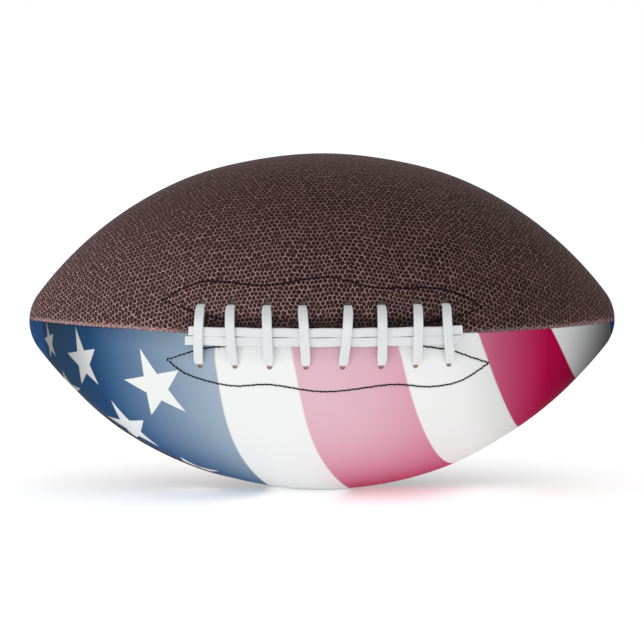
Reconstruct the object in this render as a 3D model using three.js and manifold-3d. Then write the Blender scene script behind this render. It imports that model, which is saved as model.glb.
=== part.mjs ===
// An american football: four panels sewn edge to edge round an inflated bladder, and laced shut.
// X runs from nose to nose, the lacing faces -Y and Z is up. The origin is the middle of the ball.
// All lengths are in millimetres and all angles in radians.

import * as THREE from "three";
import { mergeVertices } from "three/addons/utils/BufferGeometryUtils.js";
import Module from "manifold-3d";

const wasm = await Module();
wasm.setup();

// Ball
const BALL_LENGTH = 283;
const BALL_DIAMETER = 163.6;
const NOSE_RADIUS = 22; // round end, tangent to the long arc of the side
const NOSE_OPENING_RADIUS = 1.2; // left where the four panel ends meet
const CONTACT_FLAT_DEPTH = 0.5; // the inflated ball flattens where it rests

// Room between two pieces that lie against each other
const CLEARANCE = 0.3;

// Panels and the seams between them
const PANEL_THICKNESS = 1.9;
const SEAM_GAP = 0.9;
const SHOULDER_RADIUS = 1.6; // the panel rolls over this into its seam
const FLANGE_THICKNESS = 1.2; // pared edge that is turned in and sewn
const FLANGE_DEPTH = 5;
const FLANGE_FILLET = 0.9;
const SEAM_THREAD_RADIUS = 0.26;
const SEAM_THREAD_DEPTH = 3.2;

// Layers under the panels
const LINING_THICKNESS = 0.8;
const LINING_END_RADIUS = 19; // the lining stops short of the nose, where the ball is this thick
const FACING_THICKNESS = 1;
const TONGUE_THICKNESS = 1.2;
const BLADDER_WALL = 0.8;

// Lacing. Holes are listed along the seam from the middle of the ball, left to right, in pitches.
const LACE_WIDTH = 4.6;
const LACE_THICKNESS = 1.7;
const LACE_EDGE_BEVEL = 0.45;
const LACE_BEND_RADIUS = 0.5; // inside the turn of the lace into a hole
const LACE_TAIL_ACROSS = 3; // the tucked ends stop this far from the seam
const HOLE_PITCH = 17;
const UPPER_HOLE_PLACES = [-3.35, -2.5, -1.5, -0.53, 0.71, 1.62, 2.62, 3.44];
const LOWER_HOLE_PLACES = [-3.41, -2.41, -1.44, -0.44, 0.56, 1.62, 2.59, 3.56];
const HOLE_ACROSS = 14.6; // from the seam to each row of holes
const RUN_SPACING = 0.4; // between the two lengthwise runs under the crossings
const RUN_END_REACH = 6.5; // past the outermost crossing
const VALLEY_DEPTH = 3.2; // the laces draw the panel edges in by this much
const VALLEY_FADE = 16; // length over which the valley runs out
const SLIT_END_REACH = 14; // unsewn seam past the outermost hole

// Facing stitches: a pointed outline whose outer edge waves, measured from the holes
const STITCH_RADIUS = 0.3;
const STITCH_TIP_REACH = 18.5; // past the outermost hole
const STITCH_TIP_ACROSS = 13.7;
const STITCH_CREST = 12.5; // outside the row of holes, at mid-length
const STITCH_DIP = 8.7;
const STITCH_DIP_ALONG = 27;
const STITCH_HUMP = 9.9;
const STITCH_HUMP_ALONG = 50;
const STITCH_SHOULDER = 4.5;
const STITCH_SHOULDER_ALONG = 69;
const STITCH_FOOT_ALONG = 46; // where the inner stitch line runs under the lengthwise lace
const FACING_MARGIN = 2.6; // facing outside its own stitches
const TONGUE_MARGIN = 2.5; // tongue past the holes, on all sides

// Valve
const VALVE_ANGLE = (13 / 16) * Math.PI; // on the upper rear panel, beside the rear seam
const VALVE_STEM_RADIUS = 4.2;
const VALVE_FLANGE_RADIUS = 8;
const VALVE_FLANGE_THICKNESS = 1.4;
const VALVE_RECESS = 0.6; // below the leather
const VALVE_BORE_RADIUS = 2.4;
const VALVE_CORE_RECESS = 0.7;
const NEEDLE_FUNNEL_RADIUS = 1.1;
const NEEDLE_FUNNEL_DEPTH = 1.6;

// Fineness of the curved surfaces
const LACED_STATIONS = 5; // from mid-length to the end of the lengthwise lace
const SIDE_STATIONS = 5; // from there to where the nose starts
const NOSE_STATIONS = 3;
const PANEL_ARC_STEPS = 6;
const VALLEY_STEPS = 5; // extra steps across the valley, inside the first arc step
const ROUND_STEPS = 16;
const BLADDER_STATIONS = 5; // from mid-length to each nose
const WAVE_STEPS = 28; // along the outer edge of a facing
const BRANCH_STEPS = 6; // along each of its inner stitch lines
const THREAD_SIDES = 5;
const BEND_STEPS = 3; // round each turn of the lace into a hole
const SPAN_STEPS = 3; // along half a crossing
const MERGE_DISTANCE = 1e-4; // corners closer than this are one

const COLOURS = {
  brown: { color: 0x5a3b38, roughness: 0.55, metalness: 0 },
  print: { color: 0xe4dfe2, roughness: 0.35, metalness: 0 },
  lining: { color: 0xd8cdb8, roughness: 0.9, metalness: 0 },
  rubber: { color: 0x1d1c1c, roughness: 0.6, metalness: 0 },
  lace: { color: 0xeceeee, roughness: 0.5, metalness: 0 },
  facing: { color: 0x4a3a34, roughness: 0.8, metalness: 0 },
  thread: { color: 0x151414, roughness: 0.7, metalness: 0 },
};

// Profile of the ball: a long arc on the side, and a round nose tangent to it
const halfLength = BALL_LENGTH / 2;
const ballRadius = BALL_DIAMETER / 2;
const noseCentre = halfLength - NOSE_RADIUS;
const sideRadius =
  (noseCentre ** 2 + ballRadius ** 2 - NOSE_RADIUS ** 2) / (2 * (ballRadius - NOSE_RADIUS));
const noseTurn = Math.asin(noseCentre / (sideRadius - NOSE_RADIUS));
const sideRun = sideRadius * noseTurn;
const quarter = Math.PI / 2;
const halfGore = quarter / 2;

// A point of the profile: along is the run over the surface from mid-length, depth is below it.
function profilePoint(along, depth) {
  const side = Math.sign(along);
  const run = Math.abs(along);
  if (run <= sideRun) {
    const turn = run / sideRadius;
    const reach = sideRadius - depth;
    return {
      x: side * reach * Math.sin(turn),
      r: reach * Math.cos(turn) - (sideRadius - ballRadius),
    };
  }
  const turn = noseTurn + (run - sideRun) / NOSE_RADIUS;
  const reach = NOSE_RADIUS - depth;
  return { x: side * (noseCentre + reach * Math.sin(turn)), r: reach * Math.cos(turn) };
}

// A point of the ball: the angle turns about X, from the lacing at 0 up over the top.
function ballPoint(along, angle, depth) {
  const { x, r } = profilePoint(along, depth);
  return new THREE.Vector3(x, -r * Math.cos(angle), r * Math.sin(angle));
}

// A point beside the lacing, across mm above the front seam
function frontPoint(along, across, depth) {
  return ballPoint(along, across / profilePoint(along, 0).r, depth);
}

// Reach of the lacing along the seam and across it
const upperHoles = UPPER_HOLE_PLACES.map((place) => place * HOLE_PITCH);
const lowerHoles = LOWER_HOLE_PLACES.map((place) => place * HOLE_PITCH);
const lastHole = Math.max(...[...upperHoles, ...lowerHoles].map(Math.abs));
const runReach = lastHole + RUN_END_REACH;
const slitReach = lastHole + SLIT_END_REACH;
const stitchReach = lastHole + STITCH_TIP_REACH;
const runOuterEdge = RUN_SPACING / 2 + LACE_WIDTH;
const valleyFloor = runOuterEdge + CLEARANCE;
const slotHalfAcross = LACE_THICKNESS / 2 + CLEARANCE;
const valleyReach = HOLE_ACROSS - slotHalfAcross - CLEARANCE;

// Depths of the layers below the panel surface
const liningOuter = PANEL_THICKNESS + CLEARANCE;
const liningInner = liningOuter + LINING_THICKNESS;
const facingInner = liningOuter + FACING_THICKNESS; // the facing lies in a window of the lining

// How far a flat facet lies below the curve that its corners are on
const lacedStep = runReach / LACED_STATIONS;
const sideStep = (sideRun - runReach) / SIDE_STATIONS;
const stationStep = Math.max(lacedStep, sideStep);
const facetSag =
  ballRadius * (1 - Math.cos(halfGore / PANEL_ARC_STEPS)) +
  sideRadius * (1 - Math.cos(stationStep / (2 * sideRadius)));

const laceInnerDepth =
  Math.max(facingInner, FLANGE_DEPTH) + facetSag + CLEARANCE + LACE_THICKNESS / 2;
const tongueOuter = laceInnerDepth + LACE_THICKNESS / 2 + CLEARANCE;
const tongueInner = tongueOuter + TONGUE_THICKNESS;

// The laces draw the panel edges in, to a valley along the seam
function smoothStep(value) {
  const t = THREE.MathUtils.clamp(value, 0, 1);
  return t * t * (3 - 2 * t);
}

function valleyDepth(along, across) {
  const lengthwise = smoothStep((runReach + VALLEY_FADE - Math.abs(along)) / VALLEY_FADE);
  const crosswise = smoothStep((valleyReach - Math.abs(across)) / (valleyReach - valleyFloor));
  return VALLEY_DEPTH * lengthwise * crosswise;
}

// Valley depth at an angle, which is nothing away from the lacing
function valleyAt(along, angle) {
  return valleyDepth(along, angle * profilePoint(along, 0).r);
}

// Booleans
function closedSolid(geometry) {
  const bare = geometry.clone();
  bare.deleteAttribute("normal");
  bare.deleteAttribute("uv");
  const merged = mergeVertices(bare, MERGE_DISTANCE);
  return new wasm.Manifold(
    new wasm.Mesh({
      numProp: 3,
      vertProperties: merged.attributes.position.array,
      triVerts: new Uint32Array(merged.index.array),
    }),
  );
}

function geometryOf(solid) {
  const mesh = solid.getMesh();
  const geometry = new THREE.BufferGeometry();
  geometry.setAttribute("position", new THREE.BufferAttribute(mesh.vertProperties, 3));
  geometry.setIndex(new THREE.BufferAttribute(mesh.triVerts, 1));
  geometry.computeVertexNormals();
  return geometry;
}

function cutBy(geometry, cutters) {
  let solid = closedSolid(geometry);
  for (const cutter of cutters) {
    solid = solid.subtract(closedSolid(cutter));
  }
  return geometryOf(solid);
}

function indexedGeometry(points, faces) {
  const geometry = new THREE.BufferGeometry();
  const numbers = points.flatMap((point) => point.toArray());
  geometry.setAttribute("position", new THREE.Float32BufferAttribute(numbers, 3));
  geometry.setIndex(faces);
  geometry.computeVertexNormals();
  return geometry;
}

// A closed sheet between two grids of points. Rows run along X and columns up round the ball.
function sheetGeometry(outer, inner) {
  const rows = outer.length;
  const columns = outer[0].length;
  const top = (row, column) => row * columns + column;
  const under = (row, column) => rows * columns + row * columns + column;
  const faces = [];
  const quad = (a, b, c, d) => faces.push(a, b, c, a, c, d);
  for (let i = 0; i + 1 < rows; i++) {
    for (let j = 0; j + 1 < columns; j++) {
      quad(top(i, j), top(i + 1, j), top(i + 1, j + 1), top(i, j + 1));
      quad(under(i, j), under(i, j + 1), under(i + 1, j + 1), under(i + 1, j));
    }
    const last = columns - 1;
    quad(top(i, 0), under(i, 0), under(i + 1, 0), top(i + 1, 0));
    quad(top(i, last), top(i + 1, last), under(i + 1, last), under(i, last));
  }
  for (let j = 0; j + 1 < columns; j++) {
    const end = rows - 1;
    quad(top(0, j), top(0, j + 1), under(0, j + 1), under(0, j));
    quad(top(end, j), under(end, j), under(end, j + 1), top(end, j + 1));
  }
  return indexedGeometry([...outer.flat(), ...inner.flat()], faces);
}

// A flat strip along a path, with bevelled edges. Each place gives its point and its width's way.
function stripGeometry(places, width, thickness, bevel) {
  const section = [
    [width / 2, 0],
    [width / 2 - bevel, thickness / 2],
    [bevel - width / 2, thickness / 2],
    [-width / 2, 0],
    [bevel - width / 2, -thickness / 2],
    [width / 2 - bevel, -thickness / 2],
  ];
  const points = [];
  places.forEach(({ point, widthWay }, index) => {
    const before = places[Math.max(index - 1, 0)].point;
    const after = places[Math.min(index + 1, places.length - 1)].point;
    const tangent = after.clone().sub(before).normalize();
    const side = widthWay.clone().addScaledVector(tangent, -widthWay.dot(tangent)).normalize();
    const up = tangent.clone().cross(side);
    for (const [a, b] of section) {
      points.push(point.clone().addScaledVector(side, a).addScaledVector(up, b));
    }
  });
  const count = section.length;
  const faces = [];
  for (let i = 0; i + 1 < places.length; i++) {
    for (let k = 0; k < count; k++) {
      const next = (k + 1) % count;
      const [a, b] = [i * count + k, i * count + next];
      faces.push(a, b, b + count, a, b + count, a + count);
    }
  }
  const lastRing = (places.length - 1) * count;
  for (let k = 1; k + 1 < count; k++) {
    faces.push(0, k + 1, k);
    faces.push(lastRing, lastRing + k, lastRing + k + 1);
  }
  return indexedGeometry(points, faces);
}

// A round thread along a list of points
function threadGeometry(points, radius, steps) {
  const section = new THREE.Shape();
  for (let k = 0; k < THREAD_SIDES; k++) {
    const turn = (2 * Math.PI * k) / THREAD_SIDES;
    const corner = [radius * Math.cos(turn), radius * Math.sin(turn)];
    if (k === 0) {
      section.moveTo(...corner);
    } else {
      section.lineTo(...corner);
    }
  }
  section.closePath();
  const extrudePath = new THREE.CatmullRomCurve3(points, false, "centripetal");
  return new THREE.ExtrudeGeometry(section, { steps, extrudePath, bevelEnabled: false });
}

// Run over the surface from mid-length to where the ball is this thick
function runToRadius(radius) {
  if (radius > NOSE_RADIUS * Math.cos(noseTurn)) {
    return sideRadius * Math.acos((radius + sideRadius - ballRadius) / sideRadius);
  }
  return sideRun + NOSE_RADIUS * (Math.acos(radius / NOSE_RADIUS) - noseTurn);
}

// Stations along the ball: even on the side, closer on the nose
function stationsTo(noseEnd) {
  const half = [];
  for (let i = 1; i <= LACED_STATIONS; i++) {
    half.push(lacedStep * i);
  }
  for (let i = 1; i <= SIDE_STATIONS; i++) {
    half.push(runReach + sideStep * i);
  }
  for (let i = 1; i <= NOSE_STATIONS; i++) {
    half.push(sideRun + ((noseEnd - sideRun) * i) / NOSE_STATIONS);
  }
  return [...half.map((along) => -along).reverse(), 0, ...half];
}

const panelStations = stationsTo(runToRadius(NOSE_OPENING_RADIUS));

// Panels. Each is a quarter of the ball, from its start seam up to the next one.
const GORES = {
  upper_front: { start: 0, material: "brown" },
  upper_rear: { start: quarter, material: "brown" },
  lower_rear: { start: -2 * quarter, material: "brown" },
  lower_front: { start: -quarter, material: "print" },
};
const arcMiddle = 1 - Math.SQRT1_2;
const seamHalfGap = SEAM_GAP / 2;
const flangeBack = seamHalfGap + FLANGE_THICKNESS;

// Edge of a panel, from the turned-in flange out over the shoulder: across, depth, and the most
// of half a gore that the point may take up, where the panel runs out to its end at the nose
const OUTER_EDGE = [
  [seamHalfGap, FLANGE_DEPTH, 0.2],
  [seamHalfGap, SHOULDER_RADIUS, 0.2],
  [seamHalfGap + arcMiddle * SHOULDER_RADIUS, arcMiddle * SHOULDER_RADIUS, 0.3],
  [seamHalfGap + SHOULDER_RADIUS, 0, 0.4],
];
const INNER_EDGE = [
  [flangeBack, FLANGE_DEPTH, 0.42],
  [flangeBack, PANEL_THICKNESS + FLANGE_FILLET, 0.42],
  [flangeBack + arcMiddle * FLANGE_FILLET, PANEL_THICKNESS + arcMiddle * FLANGE_FILLET, 0.46],
  [flangeBack + FLANGE_FILLET, PANEL_THICKNESS, 0.5],
];
const liningEdge = flangeBack + FLANGE_FILLET + CLEARANCE;

// Angle from a seam at which a point lies this far from the seam's plane
function edgeAngle(along, [across, depth, share]) {
  const ratio = across / profilePoint(along, depth).r;
  return Math.min(Math.asin(Math.min(ratio, 1)), share * halfGore);
}

// Angles between a panel's two shoulders, closer together in the valley beside the lacing
function arcAngles(along, start, inValley) {
  const shoulder = edgeAngle(along, OUTER_EDGE[3]);
  const shares = [];
  for (let step = 1; step < PANEL_ARC_STEPS; step++) {
    shares.push(step / PANEL_ARC_STEPS);
  }
  for (let step = 1; step < VALLEY_STEPS && inValley; step++) {
    const share = step / VALLEY_STEPS / PANEL_ARC_STEPS;
    if (start === 0) {
      shares.push(share);
    }
    if (start === -quarter) {
      shares.push(1 - share);
    }
  }
  shares.sort((a, b) => a - b);
  return shares.map((share) => start + shoulder + (quarter - 2 * shoulder) * share);
}

// One row of points across a gore: its two edges, and an even depth between them
function goreRow(along, start, edge, depth, inValley = true) {
  const drawnIn = (angle) => (inValley ? valleyAt(along, angle) : 0);
  const place = (angle, below) => ballPoint(along, angle, below + drawnIn(angle));
  const first = edge.map((point) => place(start + edgeAngle(along, point), point[1]));
  const last = edge.map((point) => place(start + quarter - edgeAngle(along, point), point[1]));
  const middle = arcAngles(along, start, inValley).map((angle) => place(angle, depth));
  return [...first, ...middle, ...last.reverse()];
}

// Cutters: a slot for the lace, and a round hole for the valve
function slotCutter(along, across) {
  const slot = new THREE.BoxGeometry(
    LACE_WIDTH + 2 * CLEARANCE,
    2 * slotHalfAcross,
    2 * laceInnerDepth,
  );
  const middle = frontPoint(along, across, 0);
  const outward = frontPoint(along, across, -1).sub(middle).normalize();
  const angle = across / profilePoint(along, 0).r;
  const upward = new THREE.Vector3(0, Math.sin(angle), Math.cos(angle));
  const lengthwise = upward.clone().cross(outward);
  slot.applyMatrix4(new THREE.Matrix4().makeBasis(lengthwise, upward, outward));
  slot.translate(...middle.toArray());
  return slot;
}

const valveAxis = new THREE.Vector3(0, -Math.cos(VALVE_ANGLE), Math.sin(VALVE_ANGLE));
const towardsValve = new THREE.Quaternion().setFromUnitVectors(
  new THREE.Vector3(0, 1, 0),
  valveAxis,
);

function valveCutter() {
  const radius = VALVE_STEM_RADIUS + CLEARANCE;
  const hole = new THREE.CylinderGeometry(radius, radius, ballRadius, ROUND_STEPS);
  hole.translate(0, ballRadius, 0);
  hole.applyQuaternion(towardsValve);
  return hole;
}

function contactCutter() {
  const block = new THREE.BoxGeometry(BALL_LENGTH, BALL_DIAMETER, ballRadius);
  block.translate(0, 0, CONTACT_FLAT_DEPTH - 1.5 * ballRadius);
  return block;
}

const upperSlots = upperHoles.map((along) => slotCutter(along, HOLE_ACROSS));
const lowerSlots = lowerHoles.map((along) => slotCutter(along, -HOLE_ACROSS));
const LACE_SLOTS = { upper_front: upperSlots, lower_front: lowerSlots };
const VALVE_HOLES = { upper_rear: [valveCutter()] };
const CONTACT_CUTS = { lower_front: [contactCutter()], lower_rear: [contactCutter()] };

// Outer edge of a facing on one side of the seam: pairs of along and across, from tip to tip
function facingWave(margin) {
  const outer = HOLE_ACROSS + margin;
  const right = [
    [STITCH_DIP_ALONG, outer + STITCH_DIP],
    [STITCH_HUMP_ALONG, outer + STITCH_HUMP],
    [STITCH_SHOULDER_ALONG + margin, outer + STITCH_SHOULDER],
    [stitchReach + margin, STITCH_TIP_ACROSS],
  ];
  const left = right.map(([along, across]) => [-along, across]).reverse();
  const knots = [...left, [0, outer + STITCH_CREST], ...right];
  const wave = new THREE.SplineCurve(knots.map((knot) => new THREE.Vector2(...knot)));
  return wave.getPoints(WAVE_STEPS).map((point) => point.toArray());
}

// A block through the front of the ball, inside a facing's wave and down to the seam between two
// feet, which lie this far from mid-length
function facingBlock(side, margin, footAlong) {
  const edge = facingWave(margin).map(([along, across]) => {
    const point = frontPoint(along, side * across, liningOuter);
    return new THREE.Vector2(point.x, point.z);
  });
  const foot = frontPoint(footAlong, 0, liningOuter).x;
  const outline = new THREE.Shape([...edge, new THREE.Vector2(foot, 0), new THREE.Vector2(-foot, 0)]);
  const block = new THREE.ExtrudeGeometry(outline, { depth: BALL_DIAMETER, bevelEnabled: false });
  block.rotateX(quarter);
  return block;
}

const windowMargin = FACING_MARGIN + CLEARANCE;
const windowReach = runReach + Math.max(VALLEY_FADE, sideStep) + CLEARANCE;
const FACING_WINDOWS = {
  upper_front: [facingBlock(1, windowMargin, windowReach)],
  lower_front: [facingBlock(-1, windowMargin, windowReach)],
};

const football = new THREE.Group();

function addPiece(name, geometry, finish) {
  const mesh = new THREE.Mesh(geometry, new THREE.MeshStandardMaterial(COLOURS[finish]));
  mesh.name = name;
  football.add(mesh);
  return mesh;
}

function addPanel(name, { start, material }) {
  const outer = panelStations.map((along) => goreRow(along, start, OUTER_EDGE, 0));
  const inner = panelStations.map((along) => goreRow(along, start, INNER_EDGE, PANEL_THICKNESS));
  const cuts = [LACE_SLOTS, VALVE_HOLES, CONTACT_CUTS].flatMap((kind) => kind[name] ?? []);
  addPiece(`${name}_panel`, cutBy(sheetGeometry(outer, inner), cuts), material);
}

function addLining(name, { start }) {
  const end = runToRadius(LINING_END_RADIUS);
  const inside = panelStations.filter((along) => Math.abs(along) < end - CLEARANCE);
  const stations = [-end, ...inside, end];
  const layer = (depth) =>
    stations.map((along) => goreRow(along, start, [[liningEdge, depth, 0.5]], depth, false));
  const cuts = [FACING_WINDOWS, VALVE_HOLES].flatMap((kind) => kind[name] ?? []);
  const sheet = sheetGeometry(layer(liningOuter), layer(liningInner));
  addPiece(`${name}_lining`, cutBy(sheet, cuts), "lining");
}

for (const [name, gore] of Object.entries(GORES)) {
  addPanel(name, gore);
  addLining(name, gore);
}

// Facing: a strip in the lining's window that backs the lace holes, sewn to the panel all round
function addFacing(name, side, gore, slots) {
  const stations = panelStations.filter((along) => Math.abs(along) < stitchReach + 2 * stationStep);
  const row = (along, depth) => goreRow(along, gore.start, [[liningEdge, depth, 0.5]], depth);
  const layer = (depth) => stations.map((along) => row(along, depth));
  const strip = closedSolid(sheetGeometry(layer(liningOuter), layer(facingInner)));
  const block = closedSolid(facingBlock(side, FACING_MARGIN, STITCH_FOOT_ALONG));
  addPiece(name, cutBy(geometryOf(strip.intersect(block)), slots), "facing");
}

// Facing stitches: one thread on the panel, which starts and ends beside the lengthwise lace
function addFacingStitches(name, side) {
  const wave = facingWave(0);
  const foot = [STITCH_FOOT_ALONG, runOuterEdge + CLEARANCE + STITCH_RADIUS];
  const tip = wave.at(-1);
  const branch = [];
  for (let step = 1; step <= BRANCH_STEPS; step++) {
    const share = step / BRANCH_STEPS;
    branch.push([0, 1].map((axis) => THREE.MathUtils.lerp(tip[axis], foot[axis], share)));
  }
  const mirrored = branch.map(([along, across]) => [-along, across]).reverse();
  const lift = STITCH_RADIUS + CLEARANCE / 2;
  const points = [...mirrored, ...wave, ...branch].map(([along, across]) =>
    frontPoint(along, side * across, valleyDepth(along, across) - lift),
  );
  addPiece(name, threadGeometry(points, STITCH_RADIUS, points.length - 1), "thread");
}

addFacing("upper_lace_facing", 1, GORES.upper_front, upperSlots);
addFacing("lower_lace_facing", -1, GORES.lower_front, lowerSlots);
addFacingStitches("upper_facing_stitching", 1);
addFacingStitches("lower_facing_stitching", -1);

// Seam threads: each lies between two flanges
function addSeamThread(name, angle, from, to) {
  const points = [];
  const steps = Math.ceil((to - from) / stationStep);
  for (let step = 0; step <= steps; step++) {
    const along = from + ((to - from) * step) / steps;
    points.push(ballPoint(along, angle, SEAM_THREAD_DEPTH + valleyAt(along, angle)));
  }
  addPiece(name, threadGeometry(points, SEAM_THREAD_RADIUS, steps), "thread");
}

addSeamThread("top_seam_thread", quarter, -sideRun, sideRun);
addSeamThread("rear_seam_thread", 2 * quarter, -sideRun, sideRun);
addSeamThread("bottom_seam_thread", -quarter, -sideRun, sideRun);
addSeamThread("left_front_seam_thread", 0, -sideRun, -slitReach);
addSeamThread("right_front_seam_thread", 0, slitReach, sideRun);

// A place on a lace: its point, and the way of the lace's width
function lacePlace(along, across, depth, lengthwise) {
  const point = frontPoint(along, across, depth);
  const ahead = lengthwise
    ? frontPoint(along, across + 1, depth)
    : frontPoint(along + 1, across, depth);
  return { point, widthWay: ahead.sub(point).normalize() };
}

// Two lengthwise runs lie in the valley, under the crossings
function addLaceRun(name, side) {
  const across = side * (RUN_SPACING / 2 + LACE_WIDTH / 2);
  const steps = 4 * LACED_STATIONS;
  const places = [];
  for (let step = 0; step <= steps; step++) {
    const along = runReach * ((2 * step) / steps - 1);
    const depth = valleyDepth(along, across) - CLEARANCE - LACE_THICKNESS / 2;
    places.push(lacePlace(along, across, depth, true));
  }
  addPiece(name, stripGeometry(places, LACE_WIDTH, LACE_THICKNESS, LACE_EDGE_BEVEL), "lace");
}

addLaceRun("upper_lace_run", 1);
addLaceRun("lower_lace_run", -1);

// The crossing lace, over the runs and down through each pair of holes
const laceBend = LACE_BEND_RADIUS + LACE_THICKNESS / 2;
const laceLift = CLEARANCE + LACE_THICKNESS / 2;
const bendAcross = HOLE_ACROSS - laceBend;
const crownDepth = VALLEY_DEPTH - 2 * CLEARANCE - 1.5 * LACE_THICKNESS; // just over the runs

// Half a crossing, from its middle out and down to the inner end of its hole, as across and depth
function crossingHalf() {
  const route = [];
  for (let step = 0; step < SPAN_STEPS; step++) {
    const across = (bendAcross * step) / SPAN_STEPS;
    const share = (across / bendAcross) ** 2;
    route.push([across, crownDepth - (crownDepth + laceLift) * share]);
  }
  for (let step = 0; step <= BEND_STEPS; step++) {
    const turn = (quarter * step) / BEND_STEPS;
    route.push([bendAcross + laceBend * Math.sin(turn), laceBend * (1 - Math.cos(turn)) - laceLift]);
  }
  for (let step = 0; step <= BEND_STEPS; step++) {
    const turn = (quarter * step) / BEND_STEPS;
    route.push([
      bendAcross + laceBend * Math.cos(turn),
      laceInnerDepth - laceBend * (1 - Math.sin(turn)),
    ]);
  }
  return route;
}

function crossingPlaces(index) {
  const half = crossingHalf();
  const route = [
    ...half.toReversed(),
    ...half.slice(1).map(([across, depth]) => [-across, depth]),
  ];
  return route.map(([across, depth]) => {
    const share = THREE.MathUtils.clamp((HOLE_ACROSS - across) / (2 * HOLE_ACROSS), 0, 1);
    const along = THREE.MathUtils.lerp(upperHoles[index], lowerHoles[index], share);
    return lacePlace(along, across, depth, false);
  });
}

// Inside the ball the lace slants from a lower hole to the next upper one
function returnPlaces(index) {
  const places = [];
  for (let step = 1; step < 2 * SPAN_STEPS; step++) {
    const share = step / (2 * SPAN_STEPS);
    const across = THREE.MathUtils.lerp(-bendAcross, bendAcross, share);
    const along = THREE.MathUtils.lerp(lowerHoles[index], upperHoles[index + 1], share);
    const depth = laceInnerDepth + valleyDepth(along, across);
    places.push(lacePlace(along, across, depth, false));
  }
  return places;
}

function tuckedEnd(along, across) {
  return lacePlace(along, across, laceInnerDepth + valleyDepth(along, across), false);
}

// Least gap between lengths of the lace that aren't neighbours along it
function leastGap(places) {
  const apart = 3 * (2 * SPAN_STEPS);
  let least = Infinity;
  for (let i = 0; i < places.length; i++) {
    for (let j = i + apart; j < places.length; j++) {
      least = Math.min(least, places[i].point.distanceTo(places[j].point));
    }
  }
  return least - Math.hypot(LACE_WIDTH, LACE_THICKNESS);
}

function addCrossingLace() {
  const places = [tuckedEnd(upperHoles[0], LACE_TAIL_ACROSS)];
  upperHoles.forEach((_, index) => {
    places.push(...crossingPlaces(index));
    if (index + 1 < upperHoles.length) {
      places.push(...returnPlaces(index));
    }
  });
  places.push(tuckedEnd(lowerHoles.at(-1), -LACE_TAIL_ACROSS));
  console.log(`crossing lace: least gap to itself ${leastGap(places).toFixed(2)} mm`);
  const strip = stripGeometry(places, LACE_WIDTH, LACE_THICKNESS, LACE_EDGE_BEVEL);
  addPiece("crossing_lace", strip, "lace");
}

addCrossingLace();

// Tongue: keeps the lace's returns off the bladder
const tongueHalfWidth = HOLE_ACROSS + TONGUE_MARGIN;
const tongueReach = lastHole + LACE_WIDTH / 2 + TONGUE_MARGIN;

function addTongue() {
  const side = [valleyFloor, (valleyFloor + valleyReach) / 2, valleyReach, tongueHalfWidth];
  const acrosses = [...side.map((across) => -across).reverse(), 0, ...side];
  const rows = 2 * Math.ceil(tongueReach / stationStep);
  const layer = (depth) => {
    const grid = [];
    for (let row = 0; row <= rows; row++) {
      const along = tongueReach * ((2 * row) / rows - 1);
      grid.push(
        acrosses.map((across) => frontPoint(along, across, depth + valleyDepth(along, across))),
      );
    }
    return grid;
  };
  addPiece("lace_tongue", sheetGeometry(layer(tongueOuter), layer(tongueInner)), "lining");
}

addTongue();

// Bladder: presses on the lining, and dips at the seams and behind the lacing
const dentRadius = profilePoint(stitchReach, 0).r;
const valleyAngle = valleyFloor / ballRadius;
const seamAngle = 1.5 * valleyAngle; // the bladder dips this near a seam
const tongueAngle = (tongueHalfWidth + CLEARANCE) / dentRadius;
const facingAngle = (HOLE_ACROSS + STITCH_CREST + FACING_MARGIN + CLEARANCE) / dentRadius;
const bladderDepth = liningInner + CLEARANCE + facetSag;
const bladderStep = sideRun / BLADDER_STATIONS;
const bladderTurn = halfGore / 2;

function bladderAngles() {
  const angles = [-facingAngle, -tongueAngle, -valleyAngle, 0, valleyAngle, tongueAngle, facingAngle];
  const lastAngle = 2 * Math.PI - facingAngle - bladderTurn / 2;
  for (let angle = halfGore; angle < lastAngle; angle += bladderTurn) {
    angles.push(angle);
  }
  return angles;
}

// Depth of the bladder's outside where it is free to swell, at a seam, and behind the lacing
function bladderDepthAt(along, angle) {
  const quarters = angle / quarter;
  const seam = Math.abs(quarters - Math.round(quarters)) * quarter < seamAngle;
  const nose = Math.abs(along) > sideRun - bladderStep;
  let depth = seam || nose ? FLANGE_DEPTH + 2 * CLEARANCE : bladderDepth;
  if (Math.abs(along) < stitchReach + bladderStep) {
    if (Math.abs(angle) <= facingAngle) {
      depth = Math.max(depth, facingInner + CLEARANCE + facetSag);
    }
    if (Math.abs(angle) <= tongueAngle) {
      depth = tongueInner + 2 * CLEARANCE;
    }
    if (Math.abs(angle) <= valleyAngle) {
      depth += VALLEY_DEPTH + CLEARANCE;
    }
  }
  return depth;
}

function bladderStations() {
  const half = [];
  for (let i = 0; i < BLADDER_STATIONS; i++) {
    half.push(bladderStep * (i + 0.5));
  }
  half.push(sideRun + (NOSE_RADIUS * (quarter - noseTurn)) / 2);
  return [...half.map((along) => -along).reverse(), ...half];
}

function bladderSkin(extraDepth) {
  const angles = bladderAngles();
  const stations = bladderStations();
  const rings = stations.map((along) =>
    angles.map((angle) => ballPoint(along, angle, bladderDepthAt(along, angle) + extraDepth)),
  );
  const noseX = halfLength - FLANGE_DEPTH - 2 * CLEARANCE - extraDepth;
  const points = [...rings.flat(), new THREE.Vector3(-noseX, 0, 0), new THREE.Vector3(noseX, 0, 0)];
  const count = angles.length;
  const faces = [];
  for (let j = 0; j < count; j++) {
    const next = (j + 1) % count;
    for (let i = 0; i + 1 < stations.length; i++) {
      const [a, b] = [i * count + j, i * count + next];
      faces.push(a, a + count, b + count, a, b + count, b);
    }
    const lastRing = (stations.length - 1) * count;
    faces.push(points.length - 2, j, next);
    faces.push(points.length - 1, lastRing + next, lastRing + j);
  }
  return indexedGeometry(points, faces);
}

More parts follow.
